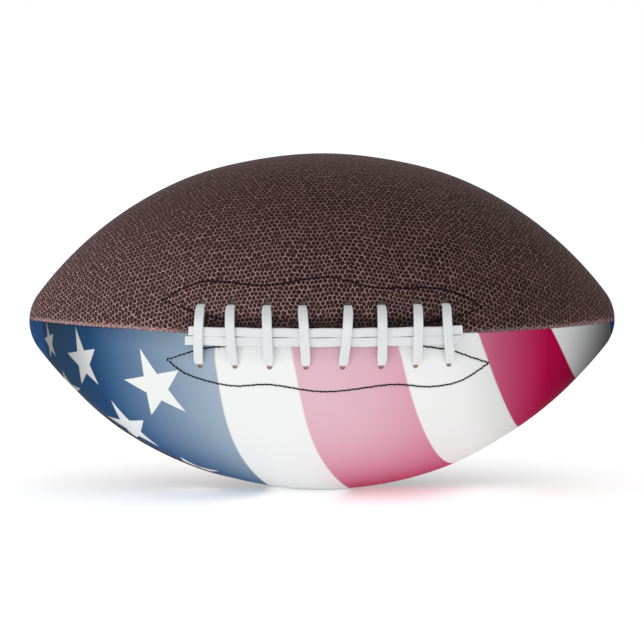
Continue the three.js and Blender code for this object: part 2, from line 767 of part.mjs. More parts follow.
addPiece("bladder", cutBy(bladderSkin(0), [bladderSkin(BLADDER_WALL), valveCutter()]), "rubber");

// Valve: a rubber stem seated inside the bladder's flat beside the rear seam, with its plug
function bladderFlatHeight(extraDepth) {
  const corners = [-bladderStep / 2, bladderStep / 2].flatMap((along) =>
    [-1, 1].map((side) =>
      ballPoint(along, VALVE_ANGLE + (side * bladderTurn) / 2, bladderDepth + extraDepth),
    ),
  );
  return Math.min(...corners.map((corner) => corner.dot(valveAxis)));
}

function latheOnValve(name, profile, finish) {
  const points = profile.map(([radius, height]) => new THREE.Vector2(radius, height));
  const piece = addPiece(name, new THREE.LatheGeometry(points, ROUND_STEPS), finish);
  piece.quaternion.copy(towardsValve);
}

const valveFlangeTop = bladderFlatHeight(BLADDER_WALL) - CLEARANCE;
const valveFlangeUnder = valveFlangeTop - VALVE_FLANGE_THICKNESS;
const valveTop = ballRadius - VALVE_RECESS;
latheOnValve(
  "valve_stem",
  [
    [VALVE_BORE_RADIUS, valveFlangeUnder],
    [VALVE_FLANGE_RADIUS, valveFlangeUnder],
    [VALVE_FLANGE_RADIUS, valveFlangeTop],
    [VALVE_STEM_RADIUS, valveFlangeTop],
    [VALVE_STEM_RADIUS, valveTop],
    [VALVE_BORE_RADIUS, valveTop],
    [VALVE_BORE_RADIUS, valveFlangeUnder],
  ],
  "rubber",
);
const coreRadius = VALVE_BORE_RADIUS - CLEARANCE;
const coreTop = valveTop - VALVE_CORE_RECESS;
latheOnValve(
  "valve_core",
  [
    [0, valveFlangeUnder],
    [coreRadius, valveFlangeUnder],
    [coreRadius, coreTop],
    [NEEDLE_FUNNEL_RADIUS, coreTop],
    [0, coreTop - NEEDLE_FUNNEL_DEPTH],
  ],
  "rubber",
);

export default football;
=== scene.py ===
# %% [markdown]
# # Dressing an american football
#
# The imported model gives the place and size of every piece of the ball. This lesson makes the skin that
# the eye sees over it: three panels of pebbled leather, one smooth printed panel, a flat white lace and
# the black stitches round its holes. Shape comes first, then the finishes, then the light and the camera.

import math
from functools import reduce

import bmesh
import bpy
import numpy as np
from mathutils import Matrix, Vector, noise


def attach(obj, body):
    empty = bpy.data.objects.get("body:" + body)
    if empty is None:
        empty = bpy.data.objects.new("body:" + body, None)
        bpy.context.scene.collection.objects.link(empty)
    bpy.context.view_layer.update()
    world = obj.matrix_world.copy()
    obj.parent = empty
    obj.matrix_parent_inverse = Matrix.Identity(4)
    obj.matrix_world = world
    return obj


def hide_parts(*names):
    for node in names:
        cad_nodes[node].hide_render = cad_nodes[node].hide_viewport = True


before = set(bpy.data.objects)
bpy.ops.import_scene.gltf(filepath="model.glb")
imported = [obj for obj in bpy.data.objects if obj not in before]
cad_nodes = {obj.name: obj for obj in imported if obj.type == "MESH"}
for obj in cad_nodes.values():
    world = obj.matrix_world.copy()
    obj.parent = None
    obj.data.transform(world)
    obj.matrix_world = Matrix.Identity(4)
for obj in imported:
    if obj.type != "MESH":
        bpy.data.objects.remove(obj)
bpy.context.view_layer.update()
bpy.context.scene.view_settings.view_transform = "Standard"
MM = 0.001  # lengths below are written in millimetres, and meshes are made in metres

# %% [markdown]
# ## The ball's profile
#
# A football is a turned shape: one long arc on the side and a small round nose tangent to it. Every piece
# below is placed by three numbers, which a maker could mark on the leather: how far along the surface from
# mid-length, at which angle round the ball (0 at the lacing, a quarter turn at the top), and how deep.

# %% Profile of the ball
BALL_LENGTH = 283.0
BALL_DIAMETER = 163.6
NOSE_RADIUS = 22.0
NOSE_OPENING_RADIUS = 1.2
CONTACT_FLAT_DEPTH = 0.5
QUARTER = math.pi / 2
FRONT_SEAM, REAR_SEAM = 0.0, math.pi

half_length = BALL_LENGTH / 2
ball_radius = BALL_DIAMETER / 2
nose_centre = half_length - NOSE_RADIUS
side_radius = (nose_centre**2 + ball_radius**2 - NOSE_RADIUS**2) / (2 * (ball_radius - NOSE_RADIUS))
side_drop = side_radius - ball_radius
nose_turn = math.asin(nose_centre / (side_radius - NOSE_RADIUS))
side_run = side_radius * nose_turn
nose_run = side_run + NOSE_RADIUS * (math.acos(NOSE_OPENING_RADIUS / NOSE_RADIUS) - nose_turn)
floor_height = -(ball_radius - CONTACT_FLAT_DEPTH)


def profile_turn(along):
    """How far the surface has turned towards the nose at this run from mid-length."""
    run = np.abs(along)
    return np.where(run > side_run, nose_turn + (run - side_run) / NOSE_RADIUS, run / side_radius)


def profile_point(along, depth):
    """x and radius of a point on the profile, this deep below the surface."""
    turn = profile_turn(along)
    on_nose = np.abs(along) > side_run
    reach = np.where(on_nose, NOSE_RADIUS, side_radius) - depth
    x = reach * np.sin(turn) + np.where(on_nose, nose_centre, 0)
    radius = reach * np.cos(turn) - np.where(on_nose, 0, side_drop)
    return np.sign(along) * x, radius


def ball_point(along, angle, depth):
    """A point of the ball in millimetres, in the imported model's frame."""
    x, radius = profile_point(along, depth)
    return np.stack(np.broadcast_arrays(x, -radius * np.cos(angle), radius * np.sin(angle)), axis=-1)


def front_point(along, across, depth):
    """A point beside the lacing, across millimetres above the front seam."""
    return ball_point(along, across / profile_point(along, 0)[1], depth)


def place_on_ball(points):
    """The run, the angle and the depth that ball_point was given, found back from its points."""
    x, radius = np.abs(points[:, 0]), np.hypot(points[:, 1], points[:, 2])
    turn = np.arctan2(x, radius + side_drop)
    on_nose = turn > nose_turn
    run_on_nose = side_run + NOSE_RADIUS * (np.arctan2(x - nose_centre, radius) - nose_turn)
    run = np.where(on_nose, run_on_nose, turn * side_radius)
    side_depth = side_radius - np.hypot(x, radius + side_drop)
    depth = np.where(on_nose, NOSE_RADIUS - np.hypot(x - nose_centre, radius), side_depth)
    return np.sign(points[:, 0]) * run, np.arctan2(points[:, 2], -points[:, 1]), depth


print(f"side radius {side_radius:.1f} mm, surface run to the nose {nose_run:.1f} mm")

# %% [markdown]
# ## The lacing's layout
#
# Eight crossings sit about 17 mm apart, never quite evenly, because a ball is laced by hand. Pulling the
# lace tight draws the two panel edges inwards, so the leather has a shallow valley there. The stitches
# round the holes hold a facing inside: their line waves along the outside and comes to a point at each end.

# %% Layout of the lacing
HOLE_PITCH = 17.0
UPPER_HOLE_PLACES = (-3.35, -2.5, -1.5, -0.53, 0.71, 1.62, 2.62, 3.44)
LOWER_HOLE_PLACES = (-3.41, -2.41, -1.44, -0.44, 0.56, 1.62, 2.59, 3.56)
HOLE_ACROSS = 14.6
LACE_WIDTH = 4.6
LACE_THICKNESS = 1.7
RUN_SPACING = 0.4
RUN_END_REACH = 6.5
VALLEY_DEPTH = 3.2
VALLEY_FADE = 16.0
CLEARANCE = 0.3

upper_holes = [place * HOLE_PITCH for place in UPPER_HOLE_PLACES]
lower_holes = [place * HOLE_PITCH for place in LOWER_HOLE_PLACES]
last_hole = max(map(abs, upper_holes + lower_holes))
run_reach = last_hole + RUN_END_REACH
run_outer_edge = RUN_SPACING / 2 + LACE_WIDTH
valley_floor = run_outer_edge + CLEARANCE
valley_reach = HOLE_ACROSS - LACE_THICKNESS / 2 - 2 * CLEARANCE


def smooth(value):
    """A smooth step from 0 to 1."""
    t = np.clip(value, 0, 1)
    return t * t * (3 - 2 * t)


def valley_depth(along, across):
    """How far the tight lace draws the leather in."""
    lengthwise = smooth((run_reach + VALLEY_FADE - np.abs(along)) / VALLEY_FADE)
    crosswise = smooth((valley_reach - np.abs(across)) / (valley_reach - valley_floor))
    return VALLEY_DEPTH * lengthwise * crosswise


print(f"lacing reaches {run_reach:.1f} mm to each side of mid-length")

# %% The sewn lines round the holes
UPPER_SEWING = (  # along and across: out from the left foot, back along the outside, in to the right foot
    ((-46.1, 7.0), (-55.6, 9.1), (-77.2, 15.0)),
    (
        (-77.2, 15.0), (-63.8, 22.5), (-50.3, 25.2), (-26.4, 23.6), (1.9, 27.5),
        (23.2, 22.6), (36.4, 21.9), (53.3, 21.5), (65.8, 18.3), (77.6, 11.6),
    ),
    ((77.6, 11.6), (72.4, 9.9), (63.6, 7.6), (53.6, 5.6), (48.0, 5.0)),
)
LOWER_SEWING = (
    ((-45.5, 5.8), (-51.9, 6.4), (-57.8, 7.3), (-65.4, 9.5), (-74.7, 12.8)),
    (
        (-74.7, 12.8), (-64.0, 19.7), (-43.3, 24.5), (-24.3, 23.6), (1.8, 27.0),
        (32.1, 23.9), (50.9, 25.6), (66.4, 23.3), (81.0, 15.0),
    ),
    ((81.0, 15.0), (72.5, 12.0), (63.6, 8.8), (57.9, 7.6), (48.4, 6.1)),
)
PATH_STEP = 0.25  # between the points that a sewn line is drawn through
CURVE_POINTS = 200  # of each stretch, before they are spaced evenly


def smooth_line(knots, steps):
    """Points on a curve through the knots, which passes each knot in the direction of its neighbours."""
    padded = np.vstack((knots[:1], knots, knots[-1:]))
    position = np.linspace(0, len(knots) - 1, steps)
    first = np.minimum(position.astype(int), len(knots) - 2)
    t = (position - first)[:, None]
    before, here, there, after = (padded[first + k] for k in range(4))
    leave, arrive = (there - before) / 2, (after - here) / 2
    bend = 2 * here - 2 * there + leave + arrive
    swing = 3 * (there - here) - 2 * leave - arrive
    return here + t * (leave + t * (swing + t * bend))


def even_steps(line, step):
    """The same line with points an even step apart."""
    lengths = np.concatenate(([0], np.cumsum(np.linalg.norm(np.diff(line, axis=0), axis=1))))
    places = np.linspace(0, lengths[-1], round(lengths[-1] / step) + 1)
    return np.column_stack([np.interp(places, lengths, column) for column in line.T])


def sewn_line(stretches):
    """A smooth curve through the knots of each stretch, with a sharp turn from one to the next."""
    curves = [smooth_line(np.array(knots), CURVE_POINTS) for knots in stretches]
    return even_steps(np.vstack(curves), PATH_STEP)


upper_sewing, lower_sewing = sewn_line(UPPER_SEWING), sewn_line(LOWER_SEWING)
print(f"sewn lines of {len(upper_sewing) * PATH_STEP:.0f} and {len(lower_sewing) * PATH_STEP:.0f} mm")

# %% [markdown]
# ## Panels
#
# The cover is four gores, sewn inside out and then turned, so that each edge rolls over into its seam. A
# sphere with painted lines would miss that roll. Here each panel is a closed sheet: a fine grid for the
# outside, whose edges roll down to a turned-in flange, and a second grid for the inside. The grid is
# closest beside the lacing, where the leather also sinks under the stitches and round the holes.

# %% Panel edges and grids
PANEL_THICKNESS = 1.9
SEAM_LIP = 0.06  # half of the gap that shows between two panels
LIP_RADIUS = 1.0
FLANGE_HALF_GAP = 0.45
FLANGE_DEPTH = 5.0
FLANGE_THICKNESS = 1.2
FLANGE_FILLET = 0.9
FLANGE_START = 1.6  # how deep the straight flange starts, in radii of the roll
OUTER_SHARES, INNER_SHARES = (0.1, 0.4), (0.42, 0.5)  # most of half a gore for a flange and for its roll
LIP_SHARE = 0.5  # of an overhang, at the flat; the foot of the lip has it all
EDGE_STEPS = 7
FINE_STEP, ROW_STEP, PLAIN_STEP = 0.8, 0.85, 1.9
FINE_ALONG, FINE_ACROSS = 84.0, 31.0


def rolled_edge(foot, top, radius, depth, shares):
    """A panel edge from its flange out to the flat: across, depth and the most of half a gore."""
    edge = [(foot, FLANGE_DEPTH, shares[0]), (foot, depth + FLANGE_START * radius, shares[0])]
    for step in range(EDGE_STEPS):
        turn = QUARTER * step / (EDGE_STEPS - 1)
        across = top + radius * (1 - math.cos(turn))
        share = shares[0] + (shares[1] - shares[0]) * step / (EDGE_STEPS - 1)
        edge.append((across, depth + radius * (1 - math.sin(turn)), share))
    return np.array(edge)


flange_back = FLANGE_HALF_GAP + FLANGE_THICKNESS
outer_edge = rolled_edge(FLANGE_HALF_GAP, SEAM_LIP, LIP_RADIUS, 0.0, OUTER_SHARES)
inner_edge = rolled_edge(flange_back, flange_back, FLANGE_FILLET, PANEL_THICKNESS, INNER_SHARES)
lip_share = np.array((0, 0, *(1 - (1 - LIP_SHARE) * np.linspace(0, 1, EDGE_STEPS) ** 3)))


def stepped(ends, steps):
    """Places between the ends, each stretch in steps of about its own size."""
    places = [ends[0]]
    for start, end, step in zip(ends, ends[1:], steps):
        count = max(1, round((end - start) / step))
        places += [start + (end - start) * (k + 1) / count for k in range(count)]
    return np.array(places)


panel_width = ball_radius * QUARTER
laced_rows = stepped((-nose_run, -FINE_ALONG, FINE_ALONG, nose_run), (ROW_STEP, FINE_STEP, ROW_STEP))
laced_shares = stepped((0, FINE_ACROSS, panel_width), (FINE_STEP, PLAIN_STEP))[1:-1] / panel_width
plain_rows = stepped((-nose_run, nose_run), (PLAIN_STEP,))
plain_shares = stepped((0, panel_width), (PLAIN_STEP,))[1:-1] / panel_width
print(f"grid of a laced panel: {len(laced_rows)} by {len(laced_shares) + 2 * len(outer_edge)}")

# %% How the leather sinks
FURROW_DEPTH, FURROW_WIDTH = 0.5, 1.1
SEWING_SKIP = 2  # every second point of a sewn line is close enough for its furrow
DIMPLE_DEPTH, DIMPLE_REACH = 0.6, 4.0
UNEVEN_DEPTH, UNEVEN_SIZE = 0.22, 34.0


def nearest(along, across, places):
    """Distance from each grid point to the nearest of the places."""
    found = np.full(along.shape, np.inf)
    for place_along, place_across in places:
        found = np.minimum(found, np.hypot(along - place_along, across - place_across))
    return found


def lacing_sink(holes, sewing):
    """The sinking of a front panel: the valley, the furrow under the stitches, and the hole dimples."""
    hole_places = [(along, HOLE_ACROSS) for along in holes]

    def sink(along, across):
        along, across = np.broadcast_arrays(along, across)
        below = valley_depth(along, across)
        near = (np.abs(along) < FINE_ALONG) & (across < FINE_ACROSS)
        to_stitch = nearest(along[near], across[near], sewing[::SEWING_SKIP])
        to_hole = nearest(along[near], across[near], hole_places)
        below[near] += FURROW_DEPTH * smooth(1 - to_stitch / FURROW_WIDTH)
        below[near] += DIMPLE_DEPTH * smooth(1 - to_hole / DIMPLE_REACH)
        return below

    return sink


BESIDE_SHARE = 0.6  # of a panel's width, where the flats below end at the latest


def beside_seam(depth, start, end, fade, rise, reach):
    """How far a panel lies below a true arc beside its second seam, the top or the bottom one."""

    def sink(along, across):
        width = QUARTER * profile_point(along, 0)[1]
        away = width - across
        lengthwise = smooth((along - start) / fade) * smooth((end - along) / fade)
        limit = np.minimum(reach, BESIDE_SHARE * width)
        return depth * lengthwise * smooth(away / rise) * smooth((limit - away) / limit)

    return sink


def together(*sinks):
    return lambda along, across: sum(sink(along, across) for sink in sinks)


def unevenness(points):
    """Small lumps of a real cover, which keep its outline from being a perfect arc."""
    return np.array([noise.noise(Vector(p) / UNEVEN_SIZE) for p in points]) * UNEVEN_DEPTH


# %% Edges that wander
WANDER, WANDER_START, WANDER_FADE = 1.5, -55.0, 40.0


def seam_wander(along):
    """How far the front seam drifts up towards the left nose, as an angle."""
    drift = WANDER * smooth((WANDER_START - along) / WANDER_FADE)
    return drift / np.maximum(profile_point(along, 0)[1], 2 * NOSE_OPENING_RADIUS)


SCALLOP_PITCH, SCALLOP_DEPTH = 2.3, 1.2
SCALLOP_SWAY, SWAY_LENGTHS = 0.4, (3.7, 11.3)  # keeps the pitch uneven


def scallops(along):
    """How far the pebbles at the edge of the leather stand over the seam."""
    sway = SCALLOP_SWAY * sum(np.sin(along / length) for length in SWAY_LENGTHS)
    return SCALLOP_DEPTH * np.abs(np.sin(math.pi * (along / SCALLOP_PITCH + sway)))


# %% Make a panel
def panel_skin(seam, way, rows, shares, edge, depth, sink, overhang=0.0):
    """A grid of points over one gore. It starts at its seam and goes round the ball one way."""
    rows = rows[:, None]
    radius = profile_point(rows, 0)[1]
    edge_radius = profile_point(rows, edge[:, 1])[1]
    edge_turn = np.arcsin(np.minimum(edge[:, 0] / edge_radius, 1))
    edge_turn = np.minimum(edge_turn, edge[:, 2] * QUARTER / 2)
    shoulder = edge_turn[:, -1:]
    middle = shoulder + (QUARTER - 2 * shoulder) * shares
    first_turn = edge_turn - overhang * scallops(rows) * lip_share / np.maximum(edge_radius, LIP_RADIUS)
    turn = np.hstack((first_turn, middle, QUARTER - edge_turn[:, ::-1]))
    below = np.concatenate((edge[:, 1], np.full(len(shares), depth), edge[::-1, 1]))
    below = below + sink(rows, turn * radius)
    drift = seam_wander(rows) * (1 - turn / QUARTER) if seam == FRONT_SEAM else 0
    return ball_point(rows, seam + way * turn + drift, below)


def sheet_faces(rows, columns, flip):
    """Faces of a closed sheet between two grids, the second numbered after the first."""
    place = np.arange(rows * columns).reshape(rows, columns)
    under = place + rows * columns

    def quads(a, b):
        return np.stack((a[:-1], a[1:], b[1:], b[:-1]), axis=-1).reshape(-1, 4)

    faces = [quads(place[:, j], place[:, j + 1]) for j in range(columns - 1)]
    faces += [quads(under[:, j + 1], under[:, j]) for j in range(columns - 1)]
    faces += [quads(under[:, 0], place[:, 0]), quads(place[:, -1], under[:, -1])]
    faces += [quads(place[0], under[0]), quads(under[-1], place[-1])]
    faces = np.vstack(faces)
    return (faces[:, ::-1] if flip else faces).tolist()


def new_mesh(name, points, faces):
    """A smooth mesh piece, from points in millimetres."""
    mesh = bpy.data.meshes.new(name)
    mesh.from_pydata((np.reshape(points, (-1, 3)) * MM).tolist(), [], list(faces))
    mesh.shade_smooth()
    piece = bpy.data.objects.new(name, mesh)
    bpy.context.scene.collection.objects.link(piece)
    return piece


def panel_mesh(name, seam, way, rows, shares, sink, overhang):
    """A closed panel: its outside with the small lumps, and its inside."""
    outer = panel_skin(seam, way, rows, shares, outer_edge, 0.0, sink, overhang)
    inner = panel_skin(seam, way, rows, shares, inner_edge, PANEL_THICKNESS, sink)
    lumps = unevenness(outer.reshape(-1, 3)).reshape(outer.shape[:2])
    outward = outer * (0, 1, 1) / np.maximum(np.hypot(outer[..., 1], outer[..., 2]), 1)[..., None]
    outer = outer - outward * (lumps + UNEVEN_DEPTH)[..., None] / 2
    outer[..., 2] = np.maximum(outer[..., 2], floor_height)
    points = np.concatenate((outer.reshape(-1, 3), inner.reshape(-1, 3)))
    return new_mesh(name, points, sheet_faces(*outer.shape[:2], flip=way < 0))


# %% [markdown]
# ## Holes
#
# The lace has worn each hole: the top of the leather is torn to a shallow pocket, and a narrow slot under
# the lace goes right through. Painted dots would look flat from the side. So two rows of oval punches are
# cut out of each closed panel, which also keeps it closed, and raw leather shows in the cut.

# %% Punch the holes
POCKETS = {1: (14.6, 1.55, 2.05), -1: (14.4, 1.35, 1.7)}  # middle, half along and half across
POCKET_DEPTH = 1.95
SLOT_HALF_ALONG, SLOT_HALF_ACROSS = 2.1, 1.05
OVAL_POWER = 0.75  # below 1 squares an oval
DIVE_ACROSS = 13.4  # the lace lies against the seam's side of its hole
HOLE_POINTS = 24
PUNCH_OUTSIDE, PUNCH_INSIDE = -2.0, 6.5
SHARP_ANGLE = math.radians(38)


def full_turn(count):
    return np.linspace(0, 2 * math.pi, count, endpoint=False)


def punch_points(along, across, half_along, half_across, inside):
    """Two rings of a punch: an oval above the leather and the same oval below it."""
    turn = full_turn(HOLE_POINTS)
    wide, high = (np.sign(part) * np.abs(part) ** OVAL_POWER for part in (np.cos(turn), np.sin(turn)))
    oval = (along + half_along * wide, across + half_across * high)
    return [front_point(*oval, PUNCH_OUTSIDE), front_point(*oval, inside)]


def lace_holes(holes, side):
    """The leather is torn to a shallow pocket round each hole, and cut through under the lace."""
    middle, half_along, half_across = POCKETS[side]
    pocket = (side * middle, half_along, half_across, POCKET_DEPTH)
    slot = (side * DIVE_ACROSS, SLOT_HALF_ALONG, SLOT_HALF_ACROSS, PUNCH_INSIDE)
    return [[punch_points(along, *shape) for along in holes] for shape in (pocket, slot)]


def face_outward(piece):
    """Turns every face of a closed mesh outwards."""
    work = bmesh.new()
    work.from_mesh(piece.data)
    bmesh.ops.recalc_face_normals(work, faces=work.faces)
    work.to_mesh(piece.data)
    work.free()


def punch_out(piece, rings):
    """Cuts a row of prisms, each given as two rings of points, out of a closed mesh."""
    points, faces = [], []
    for first, second in rings:
        count, start = len(first), len(points)
        points += [*first, *second]
        loop = [start + k for k in range(count)]
        faces += [loop, [k + count for k in reversed(loop)]]
        faces += [[loop[k - 1], loop[k - 1] + count, loop[k] + count, loop[k]] for k in range(count)]
    punch = new_mesh("punch", points, faces)
    face_outward(punch)
    cut = piece.modifiers.new("holes", "BOOLEAN")
    cut.solver, cut.object = "MANIFOLD", punch
    made = bpy.data.meshes.new_from_object(piece.evaluated_get(bpy.context.evaluated_depsgraph_get()))
    piece.modifiers.clear()
    piece.data = made
    made.name = piece.name
    bpy.data.objects.remove(punch)
    made.set_sharp_from_angle(angle=SHARP_ANGLE)


# %% [markdown]
# ## Where a pattern lies on a panel
#
# Leather is embossed while it is flat, and only then cut and bent. So the grain needs a flat layout of the
# panel that doesn't stretch it. A plain length-and-angle layout would shear the pebbles near the noses. A
# polyconic one, where each ring of the ball is laid out as its own cone, keeps them round. A second layout
# keeps the distance from the panel's own seams, for wear at the edges and for the print.

# %% Lay out a panel
LEAST_LEAN = 1e-6  # the cone of the middle ring would have no tip


def flat_pattern(along, from_middle):
    """Place on the flat hide: each ring of the ball becomes an arc of its own cone."""
    lean = np.sin(profile_turn(along)) + LEAST_LEAN
    radius = profile_point(along, 0)[1]
    spread = from_middle * lean
    u = along + np.sign(along) * radius / lean * (1 - np.cos(spread))
    return np.column_stack((u, radius / lean * np.sin(spread)))


def write_layout(piece, name, places):
    """Keeps one pair of numbers for each vertex as a UV map."""
    mesh = piece.data
    corners = np.empty(len(mesh.loops), np.int32)
    mesh.loops.foreach_get("vertex_index", corners)
    layer = mesh.uv_layers.new(name=name)
    layer.uv.foreach_set("vector", places[corners].astype(np.float32).ravel())


def lay_out(piece, seam, way, sink):
    """Writes a panel's layouts, from where its points lie on the ball."""
    points = np.empty(len(piece.data.vertices) * 3, np.float32)
    piece.data.vertices.foreach_get("co", points)
    points = points.reshape(-1, 3).astype(float) / MM
    along, angle, depth = place_on_ball(points)
    middle = seam + way * QUARTER / 2
    from_middle = way * ((angle - middle + math.pi) % (2 * math.pi) - math.pi)
    from_seam = (from_middle + QUARTER / 2) * profile_point(along, 0)[1]
    sunk = sink(along, from_seam)
    write_layout(piece, "flat_pattern", flat_pattern(along, from_middle))
    write_layout(piece, "seam_place", np.column_stack((along, from_seam)))
    write_layout(piece, "grain_depth", np.column_stack((depth - sunk, sunk)))


# %% [markdown]
# ## The sewn cover
#
# A sewn cover isn't quite the turned shape it was cut for. This one is a little flat along the top and at the
# lower right, its front seam drifts up towards the left nose, and the lower rear panel bulges past the bottom
# seam, where it shows from the front as a thin brown fringe. Sculpting could do it, but each of these is one
# smooth bump beside a seam, so a few numbers say how deep it is and where it fades.

# %% Sew the cover
VALVE_ANGLE = 13 / 16 * math.pi
VALVE_HOLE_RADIUS = 4.5
top_flat = beside_seam(depth=1.15, start=-72.0, end=72.0, fade=47.0, rise=0.05, reach=60.0)
right_flat = beside_seam(depth=1.1, start=55.0, end=180.0, fade=45.0, rise=0.05, reach=45.0)
fringe = beside_seam(depth=-2.2, start=-157.0, end=-8.0, fade=55.0, rise=4.0, reach=26.0)
upper_front_sink = together(lacing_sink(upper_holes, upper_sewing), top_flat)
lower_front_sink = together(lacing_sink(lower_holes, lower_sewing), right_flat)
PANELS = {  # first seam, way round from it, grid, sinking, and how far the edge stands over that seam
    "upper_front_panel": (FRONT_SEAM, 1, laced_rows, laced_shares, upper_front_sink, 1.0),
    "lower_front_panel": (FRONT_SEAM, -1, laced_rows, laced_shares, lower_front_sink, 0.0),
    "upper_rear_panel": (REAR_SEAM, -1, plain_rows, plain_shares, top_flat, 0.0),
    "lower_rear_panel": (REAR_SEAM, 1, plain_rows, plain_shares, together(fringe, right_flat), 0.0),
}


def valve_ring(radius, height):
    """Points of a circle about the valve's axis, this far from the middle of the ball."""
    turn = full_turn(2 * HOLE_POINTS)
    around = np.outer(np.cos(turn), (1, 0, 0)) + np.outer(np.sin(turn), np.cross(valve_axis, (1, 0, 0)))
    return radius * around + height * valve_axis


valve_axis = np.array((0, -math.cos(VALVE_ANGLE), math.sin(VALVE_ANGLE)))
punch_ends = (PUNCH_OUTSIDE, PUNCH_INSIDE)
valve_hole = [valve_ring(VALVE_HOLE_RADIUS, ball_radius - depth) for depth in punch_ends]
punches = {
    "upper_front_panel": lace_holes(upper_holes, 1),
    "lower_front_panel": lace_holes(lower_holes, -1),
    "upper_rear_panel": [[valve_hole]],
}
panels = {}
for name, (seam, way, rows, shares, sink, overhang) in PANELS.items():
    panel = panel_mesh(f"{name}_cover", seam, way, rows, shares, sink, overhang)
    for row in punches.get(name, ()):
        punch_out(panel, row)
    lay_out(panel, seam, way, sink)
    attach(panel, "root")
    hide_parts(name)
    panels[name] = panel
    print(f"{panel.name}: {len(panel.data.polygons)} faces")

# %% [markdown]
# ## Valve
#
# The bladder's valve shows as a small black rubber ring in the upper rear panel, with a softer plug that
# takes the needle. Both are turned shapes with rounded lips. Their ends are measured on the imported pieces.

# %% Turn the valve
STEM_RADIUS, BORE_RADIUS = 4.2, 2.4
FLANGE_RADIUS, FLANGE_HEIGHT = 8.0, 1.4
CORE_RADIUS, NEEDLE_RADIUS, FUNNEL_RADIUS, FUNNEL_DEPTH = 2.1, 0.3, 1.1, 1.6
VALVE_LIP = 0.35
LIP_CORNER = ((0, 1), (0.29, 0.29), (1, 0))  # a quarter of a circle in three points


def valve_reach(node):
    """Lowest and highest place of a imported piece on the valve's axis, in millimetres."""
    heights = [(node.matrix_world @ vertex.co).dot(valve_axis) / MM for vertex in node.data.vertices]
    return min(heights), max(heights)


def lip(radius, height, inward, downward):
    """Three points that round off one corner of an outline."""
    return [(radius - inward * VALVE_LIP * a, height - downward * VALVE_LIP * b) for a, b in LIP_CORNER]


def turned_ring(name, outline):
    """A ring turned about the valve's axis from a closed outline of radius and height."""
    rings = np.array([valve_ring(radius, height) for radius, height in outline])
    place = np.arange(rings.shape[0] * rings.shape[1]).reshape(rings.shape[:2])
    after = np.roll(place, -1, axis=0)
    corners = (place, after, np.roll(after, -1, axis=1), np.roll(place, -1, axis=1))
    piece = new_mesh(name, rings, np.stack(corners, axis=-1).reshape(-1, 4).tolist())
    face_outward(piece)
    piece.data.set_sharp_from_angle(angle=SHARP_ANGLE)
    return piece


stem_low, stem_top = valve_reach(cad_nodes["valve_stem"])
core_low, core_top = valve_reach(cad_nodes["valve_core"])
flange_top = stem_low + FLANGE_HEIGHT
stem_outline = [(BORE_RADIUS, stem_low), (FLANGE_RADIUS, stem_low), *lip(FLANGE_RADIUS, flange_top, 1, 1)]
stem_outline += [(STEM_RADIUS, flange_top), *lip(STEM_RADIUS, stem_top, 1, 1)]
stem_outline += lip(BORE_RADIUS, stem_top, -1, 1)[::-1]
core_outline = [(NEEDLE_RADIUS, core_low), (CORE_RADIUS, core_low), *lip(CORE_RADIUS, core_top, 1, 1)]
core_outline += [(FUNNEL_RADIUS, core_top), (NEEDLE_RADIUS, core_top - FUNNEL_DEPTH)]
valve = {"valve_stem": stem_outline, "valve_core": core_outline}
valve = {name: turned_ring(f"{name}_turned", outline) for name, outline in valve.items()}
for name, piece in valve.items():
    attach(piece, "root")
    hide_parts(name)
print(f"valve: {stem_top - stem_low:.1f} mm long")

# %% [markdown]
# ## Lace
#
# The lace is a flat white strip with soft edges and two faint lines pressed along it. One strip makes all
# the crossings: it dives through a hole, slants across inside the ball and comes up through the next one.
# Two more strips lie lengthwise under the crossings, with cut ends. A bevelled curve would round the strip
# off, so a section is swept by hand along points worked out from the holes.

# %% Sweep a strip
LACE_EDGE = 0.6
GROOVE_AT, GROOVE_HALF_WIDTH, GROOVE_DEPTH = 0.8, 0.22, 0.13
GROOVE_SHAPE = ((1, 0), (0.4, 1), (-0.4, 1), (-1, 0))  # across and down, as shares of those two
EDGE_ARC = 5


def lace_section():
    """Half-width and height of points round a lace: two rounded edges and two pressed lines on top."""
    half_width, half_height = LACE_WIDTH / 2, LACE_THICKNESS / 2
    arc = [QUARTER * k / EDGE_ARC for k in range(EDGE_ARC + 1)]
    corner = [(half_width - LACE_EDGE + LACE_EDGE * math.cos(t), half_height * math.sin(t)) for t in arc]
    grooves = []
    for middle in (GROOVE_AT, -GROOVE_AT):
        for step, sunk in GROOVE_SHAPE:
            grooves.append((middle + step * GROOVE_HALF_WIDTH, half_height - sunk * GROOVE_DEPTH))
    top = corner + grooves + [(-a, b) for a, b in reversed(corner)]
    bottom = [(-a, -b) for a, b in corner[1:]] + [(a, -b) for a, b in reversed(corner[1:])]
    return np.array(top + bottom)


def tube_faces(rings, sides):
    """Faces of a closed tube: from ring to ring, and one across each end."""
    place = np.arange(rings * sides).reshape(rings, sides)
    following = np.roll(place, -1, axis=1)
    around = np.stack((place[:-1], following[:-1], following[1:], place[1:]), axis=-1).reshape(-1, 4)
    return [*around.tolist(), place[0][::-1].tolist(), place[-1].tolist()]


def unit(vectors):
    return vectors / np.linalg.norm(vectors, axis=1)[:, None]


def swept_strip(name, points, width_ways, widths, section):
    """A closed strip: the section at every point, its width along width_ways."""
    tangent = unit(np.gradient(points, axis=0))
    side = unit(width_ways - tangent * np.sum(width_ways * tangent, axis=1)[:, None])
    up = np.cross(tangent, side)
    rings = (
        points[:, None]
        + side[:, None] * (section[:, 0] * widths[:, None])[..., None]
        + up[:, None] * section[:, 1][:, None]
    )
    strip = new_mesh(name, rings, tube_faces(*rings.shape[:2]))
    strip.data.set_sharp_from_angle(angle=SHARP_ANGLE)
    return strip


